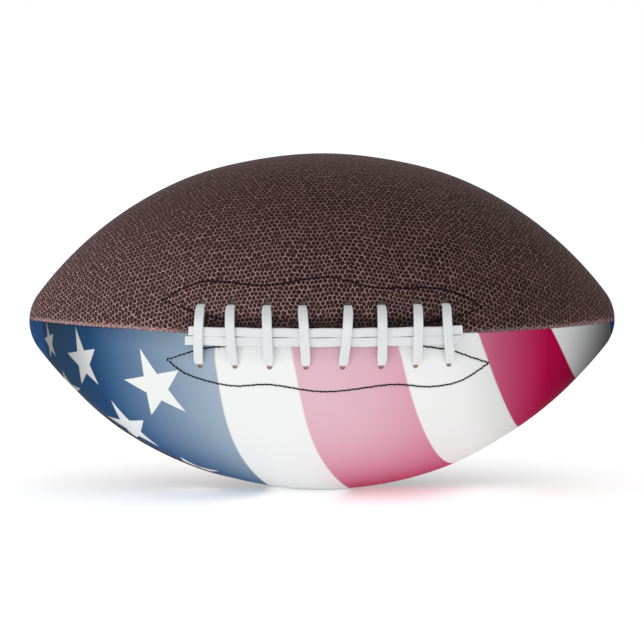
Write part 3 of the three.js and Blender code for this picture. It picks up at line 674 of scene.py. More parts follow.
# %% Route of the crossing lace
LACE_BEND_RADIUS = 0.5
LACE_TAIL_ACROSS = 3.0
LACE_INNER_DEPTH = 6.53
CROSSING_BOWS = (-1.2, -1.3, -0.4, 0.1, 0.7, 0.6, 0.9, 0.3)  # sideways bend of each crossing
PINCH, PINCH_LEAD = 0.86, 1.0  # width left where a hole squeezes the lace, and how far ahead it starts
SPAN_STEPS, BEND_STEPS, RETURN_STEPS = 14, 7, 14

lace_bend = LACE_BEND_RADIUS + LACE_THICKNESS / 2
lace_lift = CLEARANCE + LACE_THICKNESS / 2
bend_across = DIVE_ACROSS - lace_bend
crown_depth = VALLEY_DEPTH - 2 * CLEARANCE - 1.5 * LACE_THICKNESS


def crossing_half():
    """Across and depth from the middle of a crossing out to the inner end of its hole."""
    across = np.linspace(0, bend_across, SPAN_STEPS, endpoint=False)
    span = np.column_stack((across, crown_depth - (crown_depth + lace_lift) * (across / bend_across) ** 2))
    turn = np.linspace(0, QUARTER, BEND_STEPS)
    over = (bend_across + lace_bend * np.sin(turn), lace_bend * (1 - np.cos(turn)) - lace_lift)
    under = (bend_across + lace_bend * np.cos(turn), LACE_INNER_DEPTH - lace_bend * (1 - np.sin(turn)))
    return np.vstack((span, np.column_stack(over), np.column_stack(under)))


def crossing_route(index):
    """Along, across and depth of one crossing, from its upper hole to its lower one."""
    half = crossing_half()
    path = np.vstack((half[::-1], half[1:] * (-1, 1)))
    share = np.clip((DIVE_ACROSS - path[:, 0]) / (2 * DIVE_ACROSS), 0, 1)
    along = upper_holes[index] + (lower_holes[index] - upper_holes[index]) * share
    bow = CROSSING_BOWS[index] * (1 - np.minimum(np.abs(path[:, 0]) / DIVE_ACROSS, 1) ** 2)
    return np.column_stack((along + bow, path))


def return_route(index):
    """The slant inside the ball, from a lower hole to the next upper one."""
    share = np.linspace(0, 1, RETURN_STEPS)[1:-1]
    across = bend_across * (2 * share - 1)
    along = lower_holes[index] + (upper_holes[index + 1] - lower_holes[index]) * share
    return np.column_stack((along, across, LACE_INNER_DEPTH + valley_depth(along, across)))


def tail_route(along, across):
    """Where a tucked end stops inside the ball."""
    return [(along, across, LACE_INNER_DEPTH + valley_depth(along, across))]


routes = [tail_route(upper_holes[0], LACE_TAIL_ACROSS)]
for index in range(len(upper_holes)):
    routes.append(crossing_route(index))
    if index + 1 < len(upper_holes):
        routes.append(return_route(index))
routes.append(tail_route(lower_holes[-1], -LACE_TAIL_ACROSS))
route = np.vstack(routes)
print(f"{len(upper_holes)} crossings through {len(route)} points")

# %% Lace the ball
lace_points = front_point(*route.T)
lace_ways = front_point(route[:, 0] + 1, route[:, 1], route[:, 2]) - lace_points
squeeze = (np.abs(route[:, 1]) - bend_across + PINCH_LEAD) / (lace_bend + PINCH_LEAD)
lace_widths = 1 - (1 - PINCH) * smooth(squeeze)
section = lace_section()
crossing_lace = swept_strip("crossing_lace_strip", lace_points, lace_ways, lace_widths, section)
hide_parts("crossing_lace")
lace_length = np.linalg.norm(np.diff(lace_points, axis=0), axis=1).sum()
print(f"crossing lace: {lace_length:.0f} mm in one strip")

# %% The two lengthwise runs
RUN_STEP = 1.0
RUN_ENDS = {"upper": (-64.1, 67.7), "lower": (-65.9, 66.2)}
END_SLANTS = {"upper": (0.08, -0.08), "lower": (0.05, 0.66)}  # how far a cut end leans
RUN_WIDTH, RUN_GAP, RUN_DROP = 0.95, 0.15, 1.0  # the pair lies a little below the seam
RUN_WANDER, RUN_WANDER_LENGTH = 0.12, 21.0


def lace_run(name, side, ends, slants):
    """A lengthwise strip in the valley, with its two ends cut aslant."""
    along = np.linspace(*ends, round((ends[1] - ends[0]) / RUN_STEP))
    wander = RUN_WANDER * np.sin(2 * math.pi * along / RUN_WANDER_LENGTH + side)
    across = side * (RUN_GAP + RUN_WIDTH * LACE_WIDTH) / 2 - RUN_DROP + wander
    depth = valley_depth(along, across) - lace_lift
    points = front_point(along, across, depth)
    ways = front_point(along, across + 1, depth) - points
    run = swept_strip(name, points, ways, np.full(len(along), RUN_WIDTH), section)
    count = len(section)
    for slant, ring in zip(slants, (range(count), range(-count, 0))):
        for k, (half_width, _) in zip(ring, section):
            run.data.vertices[k].co.x += slant * half_width * MM
    return run


laces = [crossing_lace]
for name, side in (("upper", 1), ("lower", -1)):
    run = lace_run(f"{name}_lace_run_strip", side, RUN_ENDS[name], END_SLANTS[name])
    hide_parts(f"{name}_lace_run")
    laces.append(run)
    print(f"{run.name}: {RUN_ENDS[name][1] - RUN_ENDS[name][0]:.1f} mm")
for piece in laces:
    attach(piece, "root")

# %% [markdown]
# ## Facing stitches
#
# Each facing is held by one line of black thread. From the front it reads as a drawn line, but close up it
# is a row of short stitches that dip into the leather at both ends and lie a little aslant, as a machine
# leaves them. Each one is made as a small arched bead of thread, and a whole line is one mesh.

# %% Make the stitches
STITCH_PITCH = 2.15
STITCH_LENGTH = 2.4
STITCH_THICKNESS = 0.74
STITCH_SLANT = 0.12
STITCH_SINK = 0.2
STITCH_WOBBLE, WOBBLE_TURN = 0.09, 2.4
STITCH_BLUNT, STITCH_END, STITCH_ARCH = 8, 0.1, 4  # how its ends round off and its middle stands up
STITCH_RINGS, STITCH_SIDES = 9, 10


def stitch_rings(middle, tangent, side):
    """Rings of one stitch on the leather, as along, across and lift."""
    share = np.linspace(-1, 1, STITCH_RINGS)
    radius = STITCH_THICKNESS / 2 * np.sqrt(np.maximum(1 - share**STITCH_BLUNT, STITCH_END))
    lift = STITCH_THICKNESS / 2 * (1 - share**STITCH_ARCH) - STITCH_SINK
    normal = np.array((-tangent[1], tangent[0]))
    lean = tangent + STITCH_SLANT * normal
    turn = full_turn(STITCH_SIDES)
    centre = middle + np.outer(share * STITCH_LENGTH / 2, lean)
    flat = centre[:, None] + (radius[:, None] * np.cos(turn))[..., None] * normal
    height = lift[:, None] + radius[:, None] * np.sin(turn)
    sunk = valley_depth(flat[..., 0], flat[..., 1]) + FURROW_DEPTH
    return front_point(flat[..., 0], side * flat[..., 1], sunk - height)


def stitch_row(name, side, sewing):
    """All the stitches of one sewn line, each a little off the line."""
    line = even_steps(sewing, STITCH_PITCH)
    tangents = unit(np.gradient(line, axis=0))
    one = tube_faces(STITCH_RINGS, STITCH_SIDES)
    points, faces = [], []
    wobble = STITCH_WOBBLE * np.sin(WOBBLE_TURN * np.arange(len(line)))
    line = line + wobble[:, None] * tangents[:, ::-1] * (-1, 1)
    for middle, tangent in zip(line, tangents):
        start = len(points)
        points += stitch_rings(middle, tangent, side).reshape(-1, 3).tolist()
        faces += [[start + k for k in face] for face in one]
    piece = new_mesh(name, points, faces)
    face_outward(piece)
    print(f"{name}: {len(line)} stitches")
    return piece


stitches = []
for name, side, sewing in (("upper", 1, upper_sewing), ("lower", -1, lower_sewing)):
    row = stitch_row(f"{name}_facing_stitches", side, sewing)
    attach(row, "root")
    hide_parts(f"{name}_facing_stitching")
    stitches.append(row)

# %% [markdown]
# ## Finishes
#
# Every finish below is made from nodes, so that it can be seen from any side and at any size. Two small
# helpers keep the node trees readable: one makes a node, sets its inputs and links whatever is a socket, and
# the other adds what a material needs. Most masks are ramps, written as where they start and end, and their
# low and high where those aren't 0 and 1.

# %% A helper for node trees
class Nodes:
    """A node tree, and short ways to add nodes to it."""

    def __init__(self, tree):
        self.tree = tree

    def feed(self, socket, value):
        """Links another node's socket, or sets a plain value."""
        if isinstance(value, bpy.types.NodeSocket):
            self.tree.links.new(value, socket)
        else:
            socket.default_value = value

    def node(self, kind, inputs, **settings):
        made = self.tree.nodes.new(kind)
        for name, value in settings.items():
            setattr(made, name, value)
        for name, value in inputs.items():
            self.feed(made.inputs[name], value)
        return made

    def result(self, kind, operation, values):
        made = self.node(kind, {}, operation=operation)
        for socket, value in zip(made.inputs, values):
            self.feed(socket, value)
        return made.outputs

    def math(self, operation, *values):
        return self.result("ShaderNodeMath", operation, values)[0]

    def vector(self, operation, *values, output="Vector"):
        return self.result("ShaderNodeVectorMath", operation, values)[output]

    def times(self, *values):
        return reduce(lambda first, second: self.math("MULTIPLY", first, second), values)

    def most(self, *values):
        return reduce(lambda first, second: self.math("MAXIMUM", first, second), values)

    def minus(self, first, second):
        return self.math("SUBTRACT", first, second)

    def ramp(self, value, start, end, low=0.0, high=1.0):
        """A smooth step of a value, from low at start to high at end."""
        inputs = {"Value": value, "From Min": start, "From Max": end, "To Min": low, "To Max": high}
        return self.node("ShaderNodeMapRange", inputs, interpolation_type="SMOOTHSTEP").outputs[0]


# %% A helper for finishes
SURFACE_SOCKETS = {
    "colour": "Base Color",
    "normal": "Normal",
    "roughness": "Roughness",
    "specular": "Specular IOR Level",
    "glow_colour": "Emission Color",
    "glow": "Emission Strength",
}


class Finish(Nodes):
    """One material."""

    def __init__(self, name):
        self.material = bpy.data.materials.new(name)
        self.material.use_nodes = True
        super().__init__(self.material.node_tree)

    def mix(self, share, first, second, blend="MIX"):
        made = self.node("ShaderNodeMix", {}, data_type="RGBA", blend_type=blend)
        for socket, value in zip((made.inputs[0], made.inputs[6], made.inputs[7]), (share, first, second)):
            self.feed(socket, value)
        return made.outputs[2]

    def layout(self, name):
        return self.node("ShaderNodeUVMap", {}, uv_map=name).outputs[0]

    def where(self):
        """Place on the ball, in metres."""
        return self.node("ShaderNodeTexCoord", {}).outputs["Object"]

    def parts(self, vector, count=2):
        return self.node("ShaderNodeSeparateXYZ", {"Vector": vector}).outputs[:count]

    def noise(self, vector, scale, detail=3.0):
        inputs = {"Vector": vector, "Scale": scale, "Detail": detail}
        return self.node("ShaderNodeTexNoise", inputs).outputs["Fac"]

    def bump(self, height, distance, strength):
        inputs = {"Height": height, "Distance": distance, "Strength": strength}
        return self.node("ShaderNodeBump", inputs).outputs[0]

    def surface(self, **values):
        """Feeds the surface shader, by linked values or by ones that are the same all over."""
        shader = self.tree.nodes["Principled BSDF"]
        for name, value in values.items():
            self.feed(shader.inputs[SURFACE_SOCKETS[name]], value)
        return self

    def wear(self, *pieces, slot=None):
        """Puts the finish on pieces. The slot argument is not used."""
        for piece in pieces:
            piece.data.materials.clear()
            piece.data.materials.append(self.material)
        print(f"{self.material.name}: {', '.join(piece.name for piece in pieces)}")


def paint(red, green, blue):
    """A colour as a painter reads it off a chart, 0 to 255, turned into light."""
    parts = [value / 255 for value in (red, green, blue)]
    linear = [p / 12.92 if p <= 0.04045 else ((p + 0.055) / 1.055) ** 2.4 for p in parts]
    return (*linear, 1.0)


# %% [markdown]
# ## Pebbled leather
#
# The brown panels are covered in small round pebbles, a little over 2 mm apart and packed like coins, each
# with six neighbours. Voronoi cells would give sharp polygons. Two shifted grids of points give the packing,
# and pushing them about with a slow noise bends the rows as on a real hide. Each pebble also sits a little
# off its place, and has its own size and tone. The tops are dark, and the pressed lines between them stay
# lighter and a little pink. The edge along the front seam is rubbed pale at both ends, and below the grain
# the leather is raw.

# %% How the pebbles lie
PEBBLE_PITCH = 2.25
ROW_PITCH = PEBBLE_PITCH * math.sqrt(3)
PEBBLE_PUSHES = ((30.0, 5.0), (7.0, 1.8))  # size of the noise that bends the rows, and how far
PEBBLE_JITTER = 0.14  # how far a pebble sits from its place at most, as a share of its cell
PEBBLE_SPREAD = 0.1  # of their sizes
JITTER_WAYS = (PEBBLE_JITTER, PEBBLE_JITTER * PEBBLE_PITCH / ROW_PITCH, 0.0)
JITTER_START = (0.5 - JITTER_WAYS[0] / 2, 0.5 - JITTER_WAYS[1] / 2, 0.0)


def pebbles(finish, hide):
    """Distance from the middle of the nearest pebble, as a share of the pitch, and that pebble's number."""
    moved = hide
    for size, reach in PEBBLE_PUSHES:
        push = finish.node("ShaderNodeTexNoise", {"Vector": hide, "Scale": 1 / size, "Detail": 0.0})
        moved = finish.vector("MULTIPLY_ADD", push.outputs["Color"], (reach, reach, 0.0), moved)
    grid = finish.vector("DIVIDE", moved, (PEBBLE_PITCH, ROW_PITCH, 1.0))
    near, numbers = [], []
    for shift in (0.0, 0.5):
        shifted = finish.vector("ADD", grid, (shift, shift, 2 * shift))
        cell = finish.node("ShaderNodeTexWhiteNoise", {"Vector": finish.vector("FLOOR", shifted)})
        middle = finish.vector("MULTIPLY_ADD", cell.outputs["Color"], JITTER_WAYS, JITTER_START)
        away = finish.vector("SUBTRACT", finish.vector("FRACTION", shifted), middle)
        away = finish.vector("MULTIPLY", away, (1.0, ROW_PITCH / PEBBLE_PITCH, 0.0))
        size = finish.math("MULTIPLY_ADD", cell.outputs["Value"], PEBBLE_SPREAD, 1 - PEBBLE_SPREAD / 2)
        near.append(finish.times(finish.vector("LENGTH", away, output="Value"), size))
        numbers.append(cell.outputs["Value"])
    second = finish.math("LESS_THAN", near[1], near[0])
    number = finish.node("ShaderNodeMix", {"Factor": second, "A": numbers[0], "B": numbers[1]})
    return finish.math("MINIMUM", *near), number.outputs["Result"]


print(f"pebbles {PEBBLE_PITCH} mm apart in rows of {ROW_PITCH / 2:.2f} mm")

# %% Finish of the brown panels
PEBBLE_DARK = paint(34, 20, 19)
PEBBLE_WARM = paint(54, 33, 31)
# a lighter, greyer tone of the pebble tops, for painted light and sheen
PEBBLE_LIT = paint(69, 46, 44)
# dark colour of painted shade, in the lacing valley and in the seams of the back half
VALLEY_DARK = paint(18, 12, 12)
# the pressed lines in painted light, and dimmer in painted shade
LINE_PINK, LINE_SHADED = paint(186, 149, 150), paint(116, 94, 95)
SEAM_RUBBED = paint(208, 170, 168)
RAW_GREY = paint(116, 112, 104)
RAW_DEPTH = (0.7, 1.1)
REAR_HALF = (-20 * MM, 0.0)
PEBBLE_EDGE, PEBBLE_DOME = (0.39, 0.55), (0.56, 0.2)
PEBBLE_TONES = 0.25  # how much of the darkest tone a pebble may have
BLOTCH_SCALE, BLOTCHES = 0.06, (0.3, 0.7)
LIT_LEFT, LIT_RIGHT, LIT_HIGH = (60.0, -140.0), (90.0, 150.0, 0.0, 0.5), (50.0, 120.0, 0.0, 0.75)
LINES_LIT_LEFT, LINES_LIT_LOW = (130.0, -60.0), (80.0, 5.0, 0.1, 1.0)
RUBBED_LEFT, RUBBED_RIGHT = (-50.0, -85.0), (55.0, 90.0, 0.0, 0.4)
RUBBED_LINES, RUBBED_RIM = (4.5, 0.6), (2.0, 0.3, 0.0, 0.45)
LACED_STRETCH, VALLEY_SHADE = (72.0, 60.0), (0.9, 3.0, 0.0, 0.6)
# depth below the grain over which the seams of the back half darken in painted shade
GROOVE_SHADE = (0.15, 0.6)
FINE_SCALE, FINE_SHARE = 2.4, 0.15
PEBBLE_BUMP = (0.22 * MM, 0.7)
PEBBLE_ROUGHNESS = (0.0, 1.0, 0.72, 0.55)


def raw_below(finish, colour, raw_and_shade):
    """Swaps the colour below the grain: for raw leather in holes and front seams, for painted shade in back
    seams.
    """
    depth = finish.parts(finish.layout("grain_depth"))[0]
    return finish.mix(finish.ramp(depth, *RAW_DEPTH), colour, raw_and_shade)


def from_front_seam(finish, along, distance, side):
    """Distance from the front seam, which drifts up towards the left nose, on its upper or lower side."""
    drift = finish.ramp(along, WANDER_START, WANDER_START - WANDER_FADE, 0.0, side * WANDER)
    return finish.minus(distance, drift)


def pebbled_leather():
    finish = Finish("pebbled_leather")
    hide = finish.layout("flat_pattern")
    along, from_seam = finish.parts(finish.layout("seam_place"))
    depth, sunk = finish.parts(finish.layout("grain_depth"))
    rear = finish.ramp(finish.parts(finish.where())[1], *REAR_HALF)
    distance, number = pebbles(finish, hide)

    blotch = finish.ramp(finish.noise(hide, BLOTCH_SCALE), *BLOTCHES)
    top = finish.mix(blotch, PEBBLE_DARK, PEBBLE_WARM)
    # painted light and sheen: the pebble tops turn lighter and greyer towards both noses and far from the
    # front and rear seams
    lit_ends = finish.most(finish.ramp(along, *LIT_LEFT), finish.ramp(along, *LIT_RIGHT))
    top = finish.mix(finish.most(lit_ends, finish.ramp(from_seam, *LIT_HIGH)), top, PEBBLE_LIT)
    top = finish.mix(finish.times(number, PEBBLE_TONES), top, PEBBLE_DARK)

    # painted light: the pressed lines are lighter and pinker towards the left and near the seam, and in
    # painted shade further right and higher up
    clear = finish.times(finish.ramp(along, *LINES_LIT_LEFT), finish.ramp(from_seam, *LINES_LIT_LOW))
    line = finish.mix(clear, LINE_SHADED, LINE_PINK)
    ends = finish.math("ADD", finish.ramp(along, *RUBBED_LEFT), finish.ramp(along, *RUBBED_RIGHT))
    ends = finish.times(ends, finish.minus(1.0, rear))
    to_edge = from_front_seam(finish, along, from_seam, 1)
    line = finish.mix(finish.times(ends, finish.ramp(to_edge, *RUBBED_LINES)), line, SEAM_RUBBED)
    colour = finish.mix(finish.ramp(distance, *PEBBLE_EDGE), top, line)
    colour = finish.mix(finish.times(ends, finish.ramp(to_edge, *RUBBED_RIM)), colour, SEAM_RUBBED)

    # painted shade: the leather darkens where it sinks into the lacing valley beside the runs
    laced = finish.ramp(finish.math("ABSOLUTE", along), *LACED_STRETCH)
    shaded = finish.times(laced, finish.ramp(sunk, *VALLEY_SHADE))
    # painted shade: the seam grooves of the back half darken with depth
    groove_shade = finish.times(rear, finish.ramp(depth, *GROOVE_SHADE))
    colour = finish.mix(finish.most(shaded, groove_shade), colour, VALLEY_DARK)
    # below the grain of the back half, painted shade takes the place of raw leather
    raw_and_shade = finish.mix(rear, RAW_GREY, VALLEY_DARK)

    dome = finish.ramp(distance, *PEBBLE_DOME)
    height = finish.math("MULTIPLY_ADD", finish.noise(hide, FINE_SCALE), FINE_SHARE, dome)
    return finish.surface(
        colour=raw_below(finish, colour, raw_and_shade),
        normal=finish.bump(height, *PEBBLE_BUMP),
        roughness=finish.ramp(dome, *PEBBLE_ROUGHNESS),
        specular=0.04,
    )


brown = [panels[name] for name in ("upper_front_panel", "upper_rear_panel", "lower_rear_panel")]
pebbled_leather().wear(*brown, slot="pebbled_leather")

# %% [markdown]
# ## Printed leather
#
# The fourth panel is smooth and carries a flag in folds: stars at the left, then stripes that lean as they
# run down. A picture of a flag would tie the print to one size, so it is drawn. Each stripe edge is a gentle
# curve, so a short polynomial in the distance below the seam gives it, down to where the panel turns under
# the ball. A star is folded into one fifth of itself, where its outline is a single straight line.

# %% Shapes in the print
STRIPE_EDGES = (  # start along the seam, then how the edge leans and bends as it runs down
    (-52.9, 0.262, -0.00595, 1.13e-4, -5.5e-7),
    (-16.6, 0.338, -0.00728, 1.243e-4, -5.85e-7),
    (35.45, 0.158, 0.0023, -7.3e-6),
    (75.8, 0.299, 0.00367, -4.13e-5),
    (116.9, 0.69, -0.0035),
)
STARS = (  # middle, and the star's right and up, each as along and down
    ((-81.3, 26.9), (15.7, -3.6), (-8.0, -19.0)),
    ((-124.0, 16.8), (9.7, -1.9), (-4.7, -17.1)),
    ((-148.0, 9.0), (3.7, -1.5), (-2.6, -10.8)),
    ((-96.5, 60.6), (11.6, -4.6), (-10.6, -21.7)),
    ((-62.2, 101.0), (15.0, -3.4), (-7.8, -18.2)),
    ((-135.0, 43.7), (9.7, -1.9), (-4.7, -17.1)),
)
STAR_WAIST = 0.39  # inner corners, as a share of the star's reach
EDGE_SOFT = 0.12


def star_mask(finish, place, star):
    """1 inside a five-pointed star. place is along, down and 1."""
    middle, right, up = star
    turn = np.linalg.inv(np.column_stack((right, up)))
    shift = -turn @ middle
    across, upward = (
        finish.vector("DOT_PRODUCT", place, (*turn[k], shift[k]), output="Value") for k in range(2)
    )
    fifth = math.pi / 5
    spin = finish.math("ARCTAN2", across, upward)
    folded = finish.math("FLOORED_MODULO", finish.math("ADD", spin, fifth), 2 * fifth)
    folded = finish.math("ABSOLUTE", finish.minus(folded, fifth))
    square = finish.math("MULTIPLY_ADD", across, across, finish.math("POWER", upward, 2.0))
    side_x, side_y = STAR_WAIST * math.sin(fifth), 1 - STAR_WAIST * math.cos(fifth)
    facing = finish.math("COSINE", finish.minus(folded, math.atan2(side_y, side_x)))
    outline = side_x / math.hypot(side_x, side_y)
    soft = EDGE_SOFT / np.linalg.norm(up)
    return finish.ramp(finish.times(finish.math("SQRT", square), facing), outline + soft, outline - soft)


def past_edge(finish, along, down, edge):
    """How far a place lies to the right of a stripe's edge."""
    place = edge[-1]
    for coefficient in reversed(edge[:-1]):
        place = finish.math("MULTIPLY_ADD", place, down, coefficient)
    return finish.minus(along, place)


print(f"{len(STARS)} stars and {len(STRIPE_EDGES)} stripes")

# %% The flag
PRINT_BLUE = paint(38, 78, 124)
PRINT_RED = paint(188, 14, 74)
PRINT_WHITE = paint(243, 245, 244)
PALE_EDGING, TAN_EDGING = paint(226, 190, 186), paint(206, 176, 134)
STRIPES = (PRINT_WHITE, PRINT_RED, PRINT_WHITE, PRINT_RED, PRINT_WHITE)
EDGINGS = (PALE_EDGING, TAN_EDGING, PALE_EDGING, PALE_EDGING, PALE_EDGING)
EDGING_WIDTH = (0.4, 0.15, 0.0, 0.6)


def flag(finish, along, down):
    """Stars on blue, then the stripes from left to right, each with a fine edging."""
    place = finish.node("ShaderNodeCombineXYZ", {"X": along, "Y": down, "Z": 1.0}).outputs[0]
    colour = PRINT_BLUE
    for star in STARS:
        colour = finish.mix(star_mask(finish, place, star), colour, PRINT_WHITE)
    for edge, stripe, edging in zip(STRIPE_EDGES, STRIPES, EDGINGS):
        past = past_edge(finish, along, down, edge)
        colour = finish.mix(finish.ramp(past, -EDGE_SOFT, EDGE_SOFT), colour, stripe)
        rim = finish.ramp(finish.math("ABSOLUTE", past), *EDGING_WIDTH)
        colour = finish.mix(rim, colour, edging)
    return colour


# %% [markdown]
# ## Sheen, folds and a painted seam shadow
#
# The flag is printed as if it waved: a pale sheen lies over its middle, and the folds darken towards both
# ends.
# Lamps could not do this, because it is ink and stays when the ball turns. So it is mixed into the colour, in
# steps that look even to the eye. Right under the seam at the left, a painted shadow of the brown edge dims
# the print as well.

# %% Light and shade in the print
SHEEN_REACH, SHEEN_DROP, SHEEN_START = 116.0, 97.0, 33.0
SHEEN_STRENGTH, SHEEN_LEVEL = 0.74, 22.0
SHEEN_LEAN = (0.0, -60.0, 0.0, 0.25)
FOLD_GREY, SEAM_SHADE = paint(48, 46, 46), paint(22, 28, 42)
FOLD_LEANS = (0.25, 0.25, -0.35)  # how the three folds lean as they run down
LEFT_FOLD, SLOPE_FOLD = (-105.0, -153.0, 0.0, 0.5), (52.0, 92.0, 1.0, 0.78)
RIGHT_FOLD = (114.0, 167.0, 1.0, 0.08)
UNDER_SEAM, UNDER_LEFT = (1.3, 0.4, 0.0, 0.55), (-75.0, -115.0)
BELOW_SEAM, BELOW_LEFT = (10.0, 0.0, 0.0, 0.14), (-58.0, -75.0)
EYE_GAMMA = 2.2


def mix_by_eye(finish, share, first, second):
    """Mixes two colours in even steps to the eye, as inks do, and not in even steps of light."""
    made = [finish.node("ShaderNodeGamma", {"Color": c, "Gamma": 1 / EYE_GAMMA}) for c in (first, second)]
    mixed = finish.mix(share, *(node.outputs[0] for node in made))
    return finish.node("ShaderNodeGamma", {"Color": mixed, "Gamma": EYE_GAMMA}).outputs[0]


def sheen(finish, along, down):
    """How strong the sheen is. It falls off to the sides and downwards, and leans at the left."""
    lower = finish.most(finish.minus(down, SHEEN_START), 0.0)
    drift = finish.times(finish.ramp(along, *SHEEN_LEAN), finish.minus(down, SHEEN_LEVEL))
    beside = finish.math("DIVIDE", finish.minus(along, drift), SHEEN_REACH)
    fall_down = finish.math("POWER", finish.math("DIVIDE", lower, SHEEN_DROP), 2.0)
    fall_beside = finish.math("POWER", finish.math("ABSOLUTE", beside), 2.0)
    left_over = finish.minus(1.0, finish.math("ADD", fall_down, fall_beside))
    return finish.times(finish.most(left_over, 0.0), SHEEN_STRENGTH)


def in_folds(finish, colour, along, down):
    """The colour, darker in the fold at the left and in the two at the right."""
    left, slope, right = (finish.math("MULTIPLY_ADD", down, -lean, along) for lean in FOLD_LEANS)
    colour = mix_by_eye(finish, finish.ramp(left, *LEFT_FOLD), colour, FOLD_GREY)
    level = finish.times(finish.ramp(slope, *SLOPE_FOLD), finish.ramp(right, *RIGHT_FOLD))
    grey = finish.node("ShaderNodeCombineColor", {"Red": level, "Green": level, "Blue": level})
    return finish.mix(1.0, colour, grey.outputs[0], "MULTIPLY")


def under_seam(finish, along, down):
    """How strong the painted shadow of the brown edge is on the print, under the left part of the front seam.
    """
    to_edge = from_front_seam(finish, along, down, -1)
    under = finish.times(finish.ramp(to_edge, *UNDER_SEAM), finish.ramp(along, *UNDER_LEFT))
    dim = finish.most(under, finish.ramp(to_edge, *BELOW_SEAM))
    return finish.times(dim, finish.ramp(along, *BELOW_LEFT))


# %% Finish of the printed panel
TIPS = (  # edge, which side of it is painted, and its colour
    ((-154.0, 0.17), -1, paint(40, 74, 118)),
    ((161.0, 0.4), 1, paint(12, 44, 84)),
)
TIP_SOFT = 0.3
RAW_TAN = paint(206, 170, 148)
PRINT_GRAIN = 1.6
PRINT_BUMP = (0.04 * MM, 0.5)
PRINT_ROUGHNESS = (0.3, 0.7, 0.42, 0.52)


def printed_leather():
    finish = Finish("printed_leather")
    along, down = finish.parts(finish.layout("seam_place"))
    colour = flag(finish, along, down)
    colour = mix_by_eye(finish, sheen(finish, along, down), colour, PRINT_WHITE)
    colour = in_folds(finish, colour, along, down)
    # painted shadow of the brown edge, on the print under the left part of the front seam
    colour = mix_by_eye(finish, under_seam(finish, along, down), colour, SEAM_SHADE)
    for edge, way, tip in TIPS:
        past = past_edge(finish, along, down, edge)
        colour = finish.mix(finish.ramp(past, -way * TIP_SOFT, way * TIP_SOFT), colour, tip)
    grain = finish.noise(finish.layout("flat_pattern"), PRINT_GRAIN)
    return finish.surface(
        colour=raw_below(finish, colour, RAW_TAN),
        normal=finish.bump(grain, *PRINT_BUMP),
        roughness=finish.ramp(grain, *PRINT_ROUGHNESS),
        specular=0.002,
    )


printed_leather().wear(panels["lower_front_panel"], slot="printed_leather")

# %% [markdown]
# ## Lace, thread and the hidden layers
#
# The lace is moulded white vinyl with a fine matt grain. The thread is twisted, so its bump is a slanted
# wave. The layers inside are never in plain sight, but a part is also looked at in pieces, so the cloth
# shows a weave, and the rubber is dusty.

# %% Finish of the lace
# the third colour is painted shade, for the lace above the seam
LACE_DIM, LACE_WHITE, LACE_SHADED_TOP = paint(220, 224, 224), paint(238, 241, 241), paint(194, 198, 197)
LACE_RISE = (3 * MM, 13 * MM)  # above the seam the lace turns from the light
LACE_CLOUDS, LACE_GRAIN = 90.0, 2600.0
LACE_BUMP = (0.05 * MM, 0.4)
LACE_ROUGHNESS = (0.3, 0.7, 0.4, 0.55)


def white_lace():
    finish = Finish("white_lace")
    where = finish.where()
    clouds = finish.noise(where, LACE_CLOUDS)
    # painted shade: the lace is painted darker above the seam, where it turns from the light
    upper = finish.ramp(finish.parts(where, 3)[2], *LACE_RISE)
    return finish.surface(
        colour=finish.mix(upper, finish.mix(clouds, LACE_DIM, LACE_WHITE), LACE_SHADED_TOP),
        normal=finish.bump(finish.noise(where, LACE_GRAIN), *LACE_BUMP),
        roughness=finish.ramp(clouds, *LACE_ROUGHNESS),
    )


white_lace().wear(*laces, slot="lace")

# %% Finishes of thread, cloth and rubber
THREAD_TWIST = {"Scale": 1100.0, "Distortion": 1.5, "Detail": 1.0}
THREAD_BUMP, WEAVE_BUMP, DUST_BUMP = (0.06 * MM, 0.6), (0.1 * MM, 0.6), (0.05 * MM, 0.4)
WAVE_SCALE, WEAVE_DISTORTION = 6.3, 0.6  # the first turns a pitch into the wave texture's scale
DUST_SCALE, DUST_DETAIL = 140.0, 6.0
DUST_ROUGHNESS = (0.3, 0.7, 0.45, 0.75)


def twisted_thread(name, dark, light):
    finish = Finish(name)
    inputs = {"Vector": finish.where(), **THREAD_TWIST}
    twist = finish.node("ShaderNodeTexWave", inputs, bands_direction="DIAGONAL").outputs["Fac"]
    colour, normal = finish.mix(twist, dark, light), finish.bump(twist, *THREAD_BUMP)
    return finish.surface(colour=colour, normal=normal, roughness=0.7, specular=0.1)


def woven_cloth(name, dark, light, pitch):
    finish = Finish(name)
    scale = 1 / (pitch * MM) / WAVE_SCALE
    inputs = {"Vector": finish.where(), "Scale": scale, "Distortion": WEAVE_DISTORTION}
    bands = [finish.node("ShaderNodeTexWave", inputs, bands_direction=way) for way in ("X", "Z")]
    weave = finish.times(*(band.outputs["Fac"] for band in bands))
    colour, normal = finish.mix(weave, dark, light), finish.bump(weave, *WEAVE_BUMP)
    return finish.surface(colour=colour, normal=normal, roughness=0.9)


def dusty_rubber(name, dark, light):
    finish = Finish(name)
    dust = finish.noise(finish.where(), DUST_SCALE, DUST_DETAIL)
    colour, normal = finish.mix(dust, dark, light), finish.bump(dust, *DUST_BUMP)
    return finish.surface(colour=colour, normal=normal, roughness=finish.ramp(dust, *DUST_ROUGHNESS))


# %% Dress the stitches and the hidden layers
def named(*names):
    return [cad_nodes[name] for name in names]


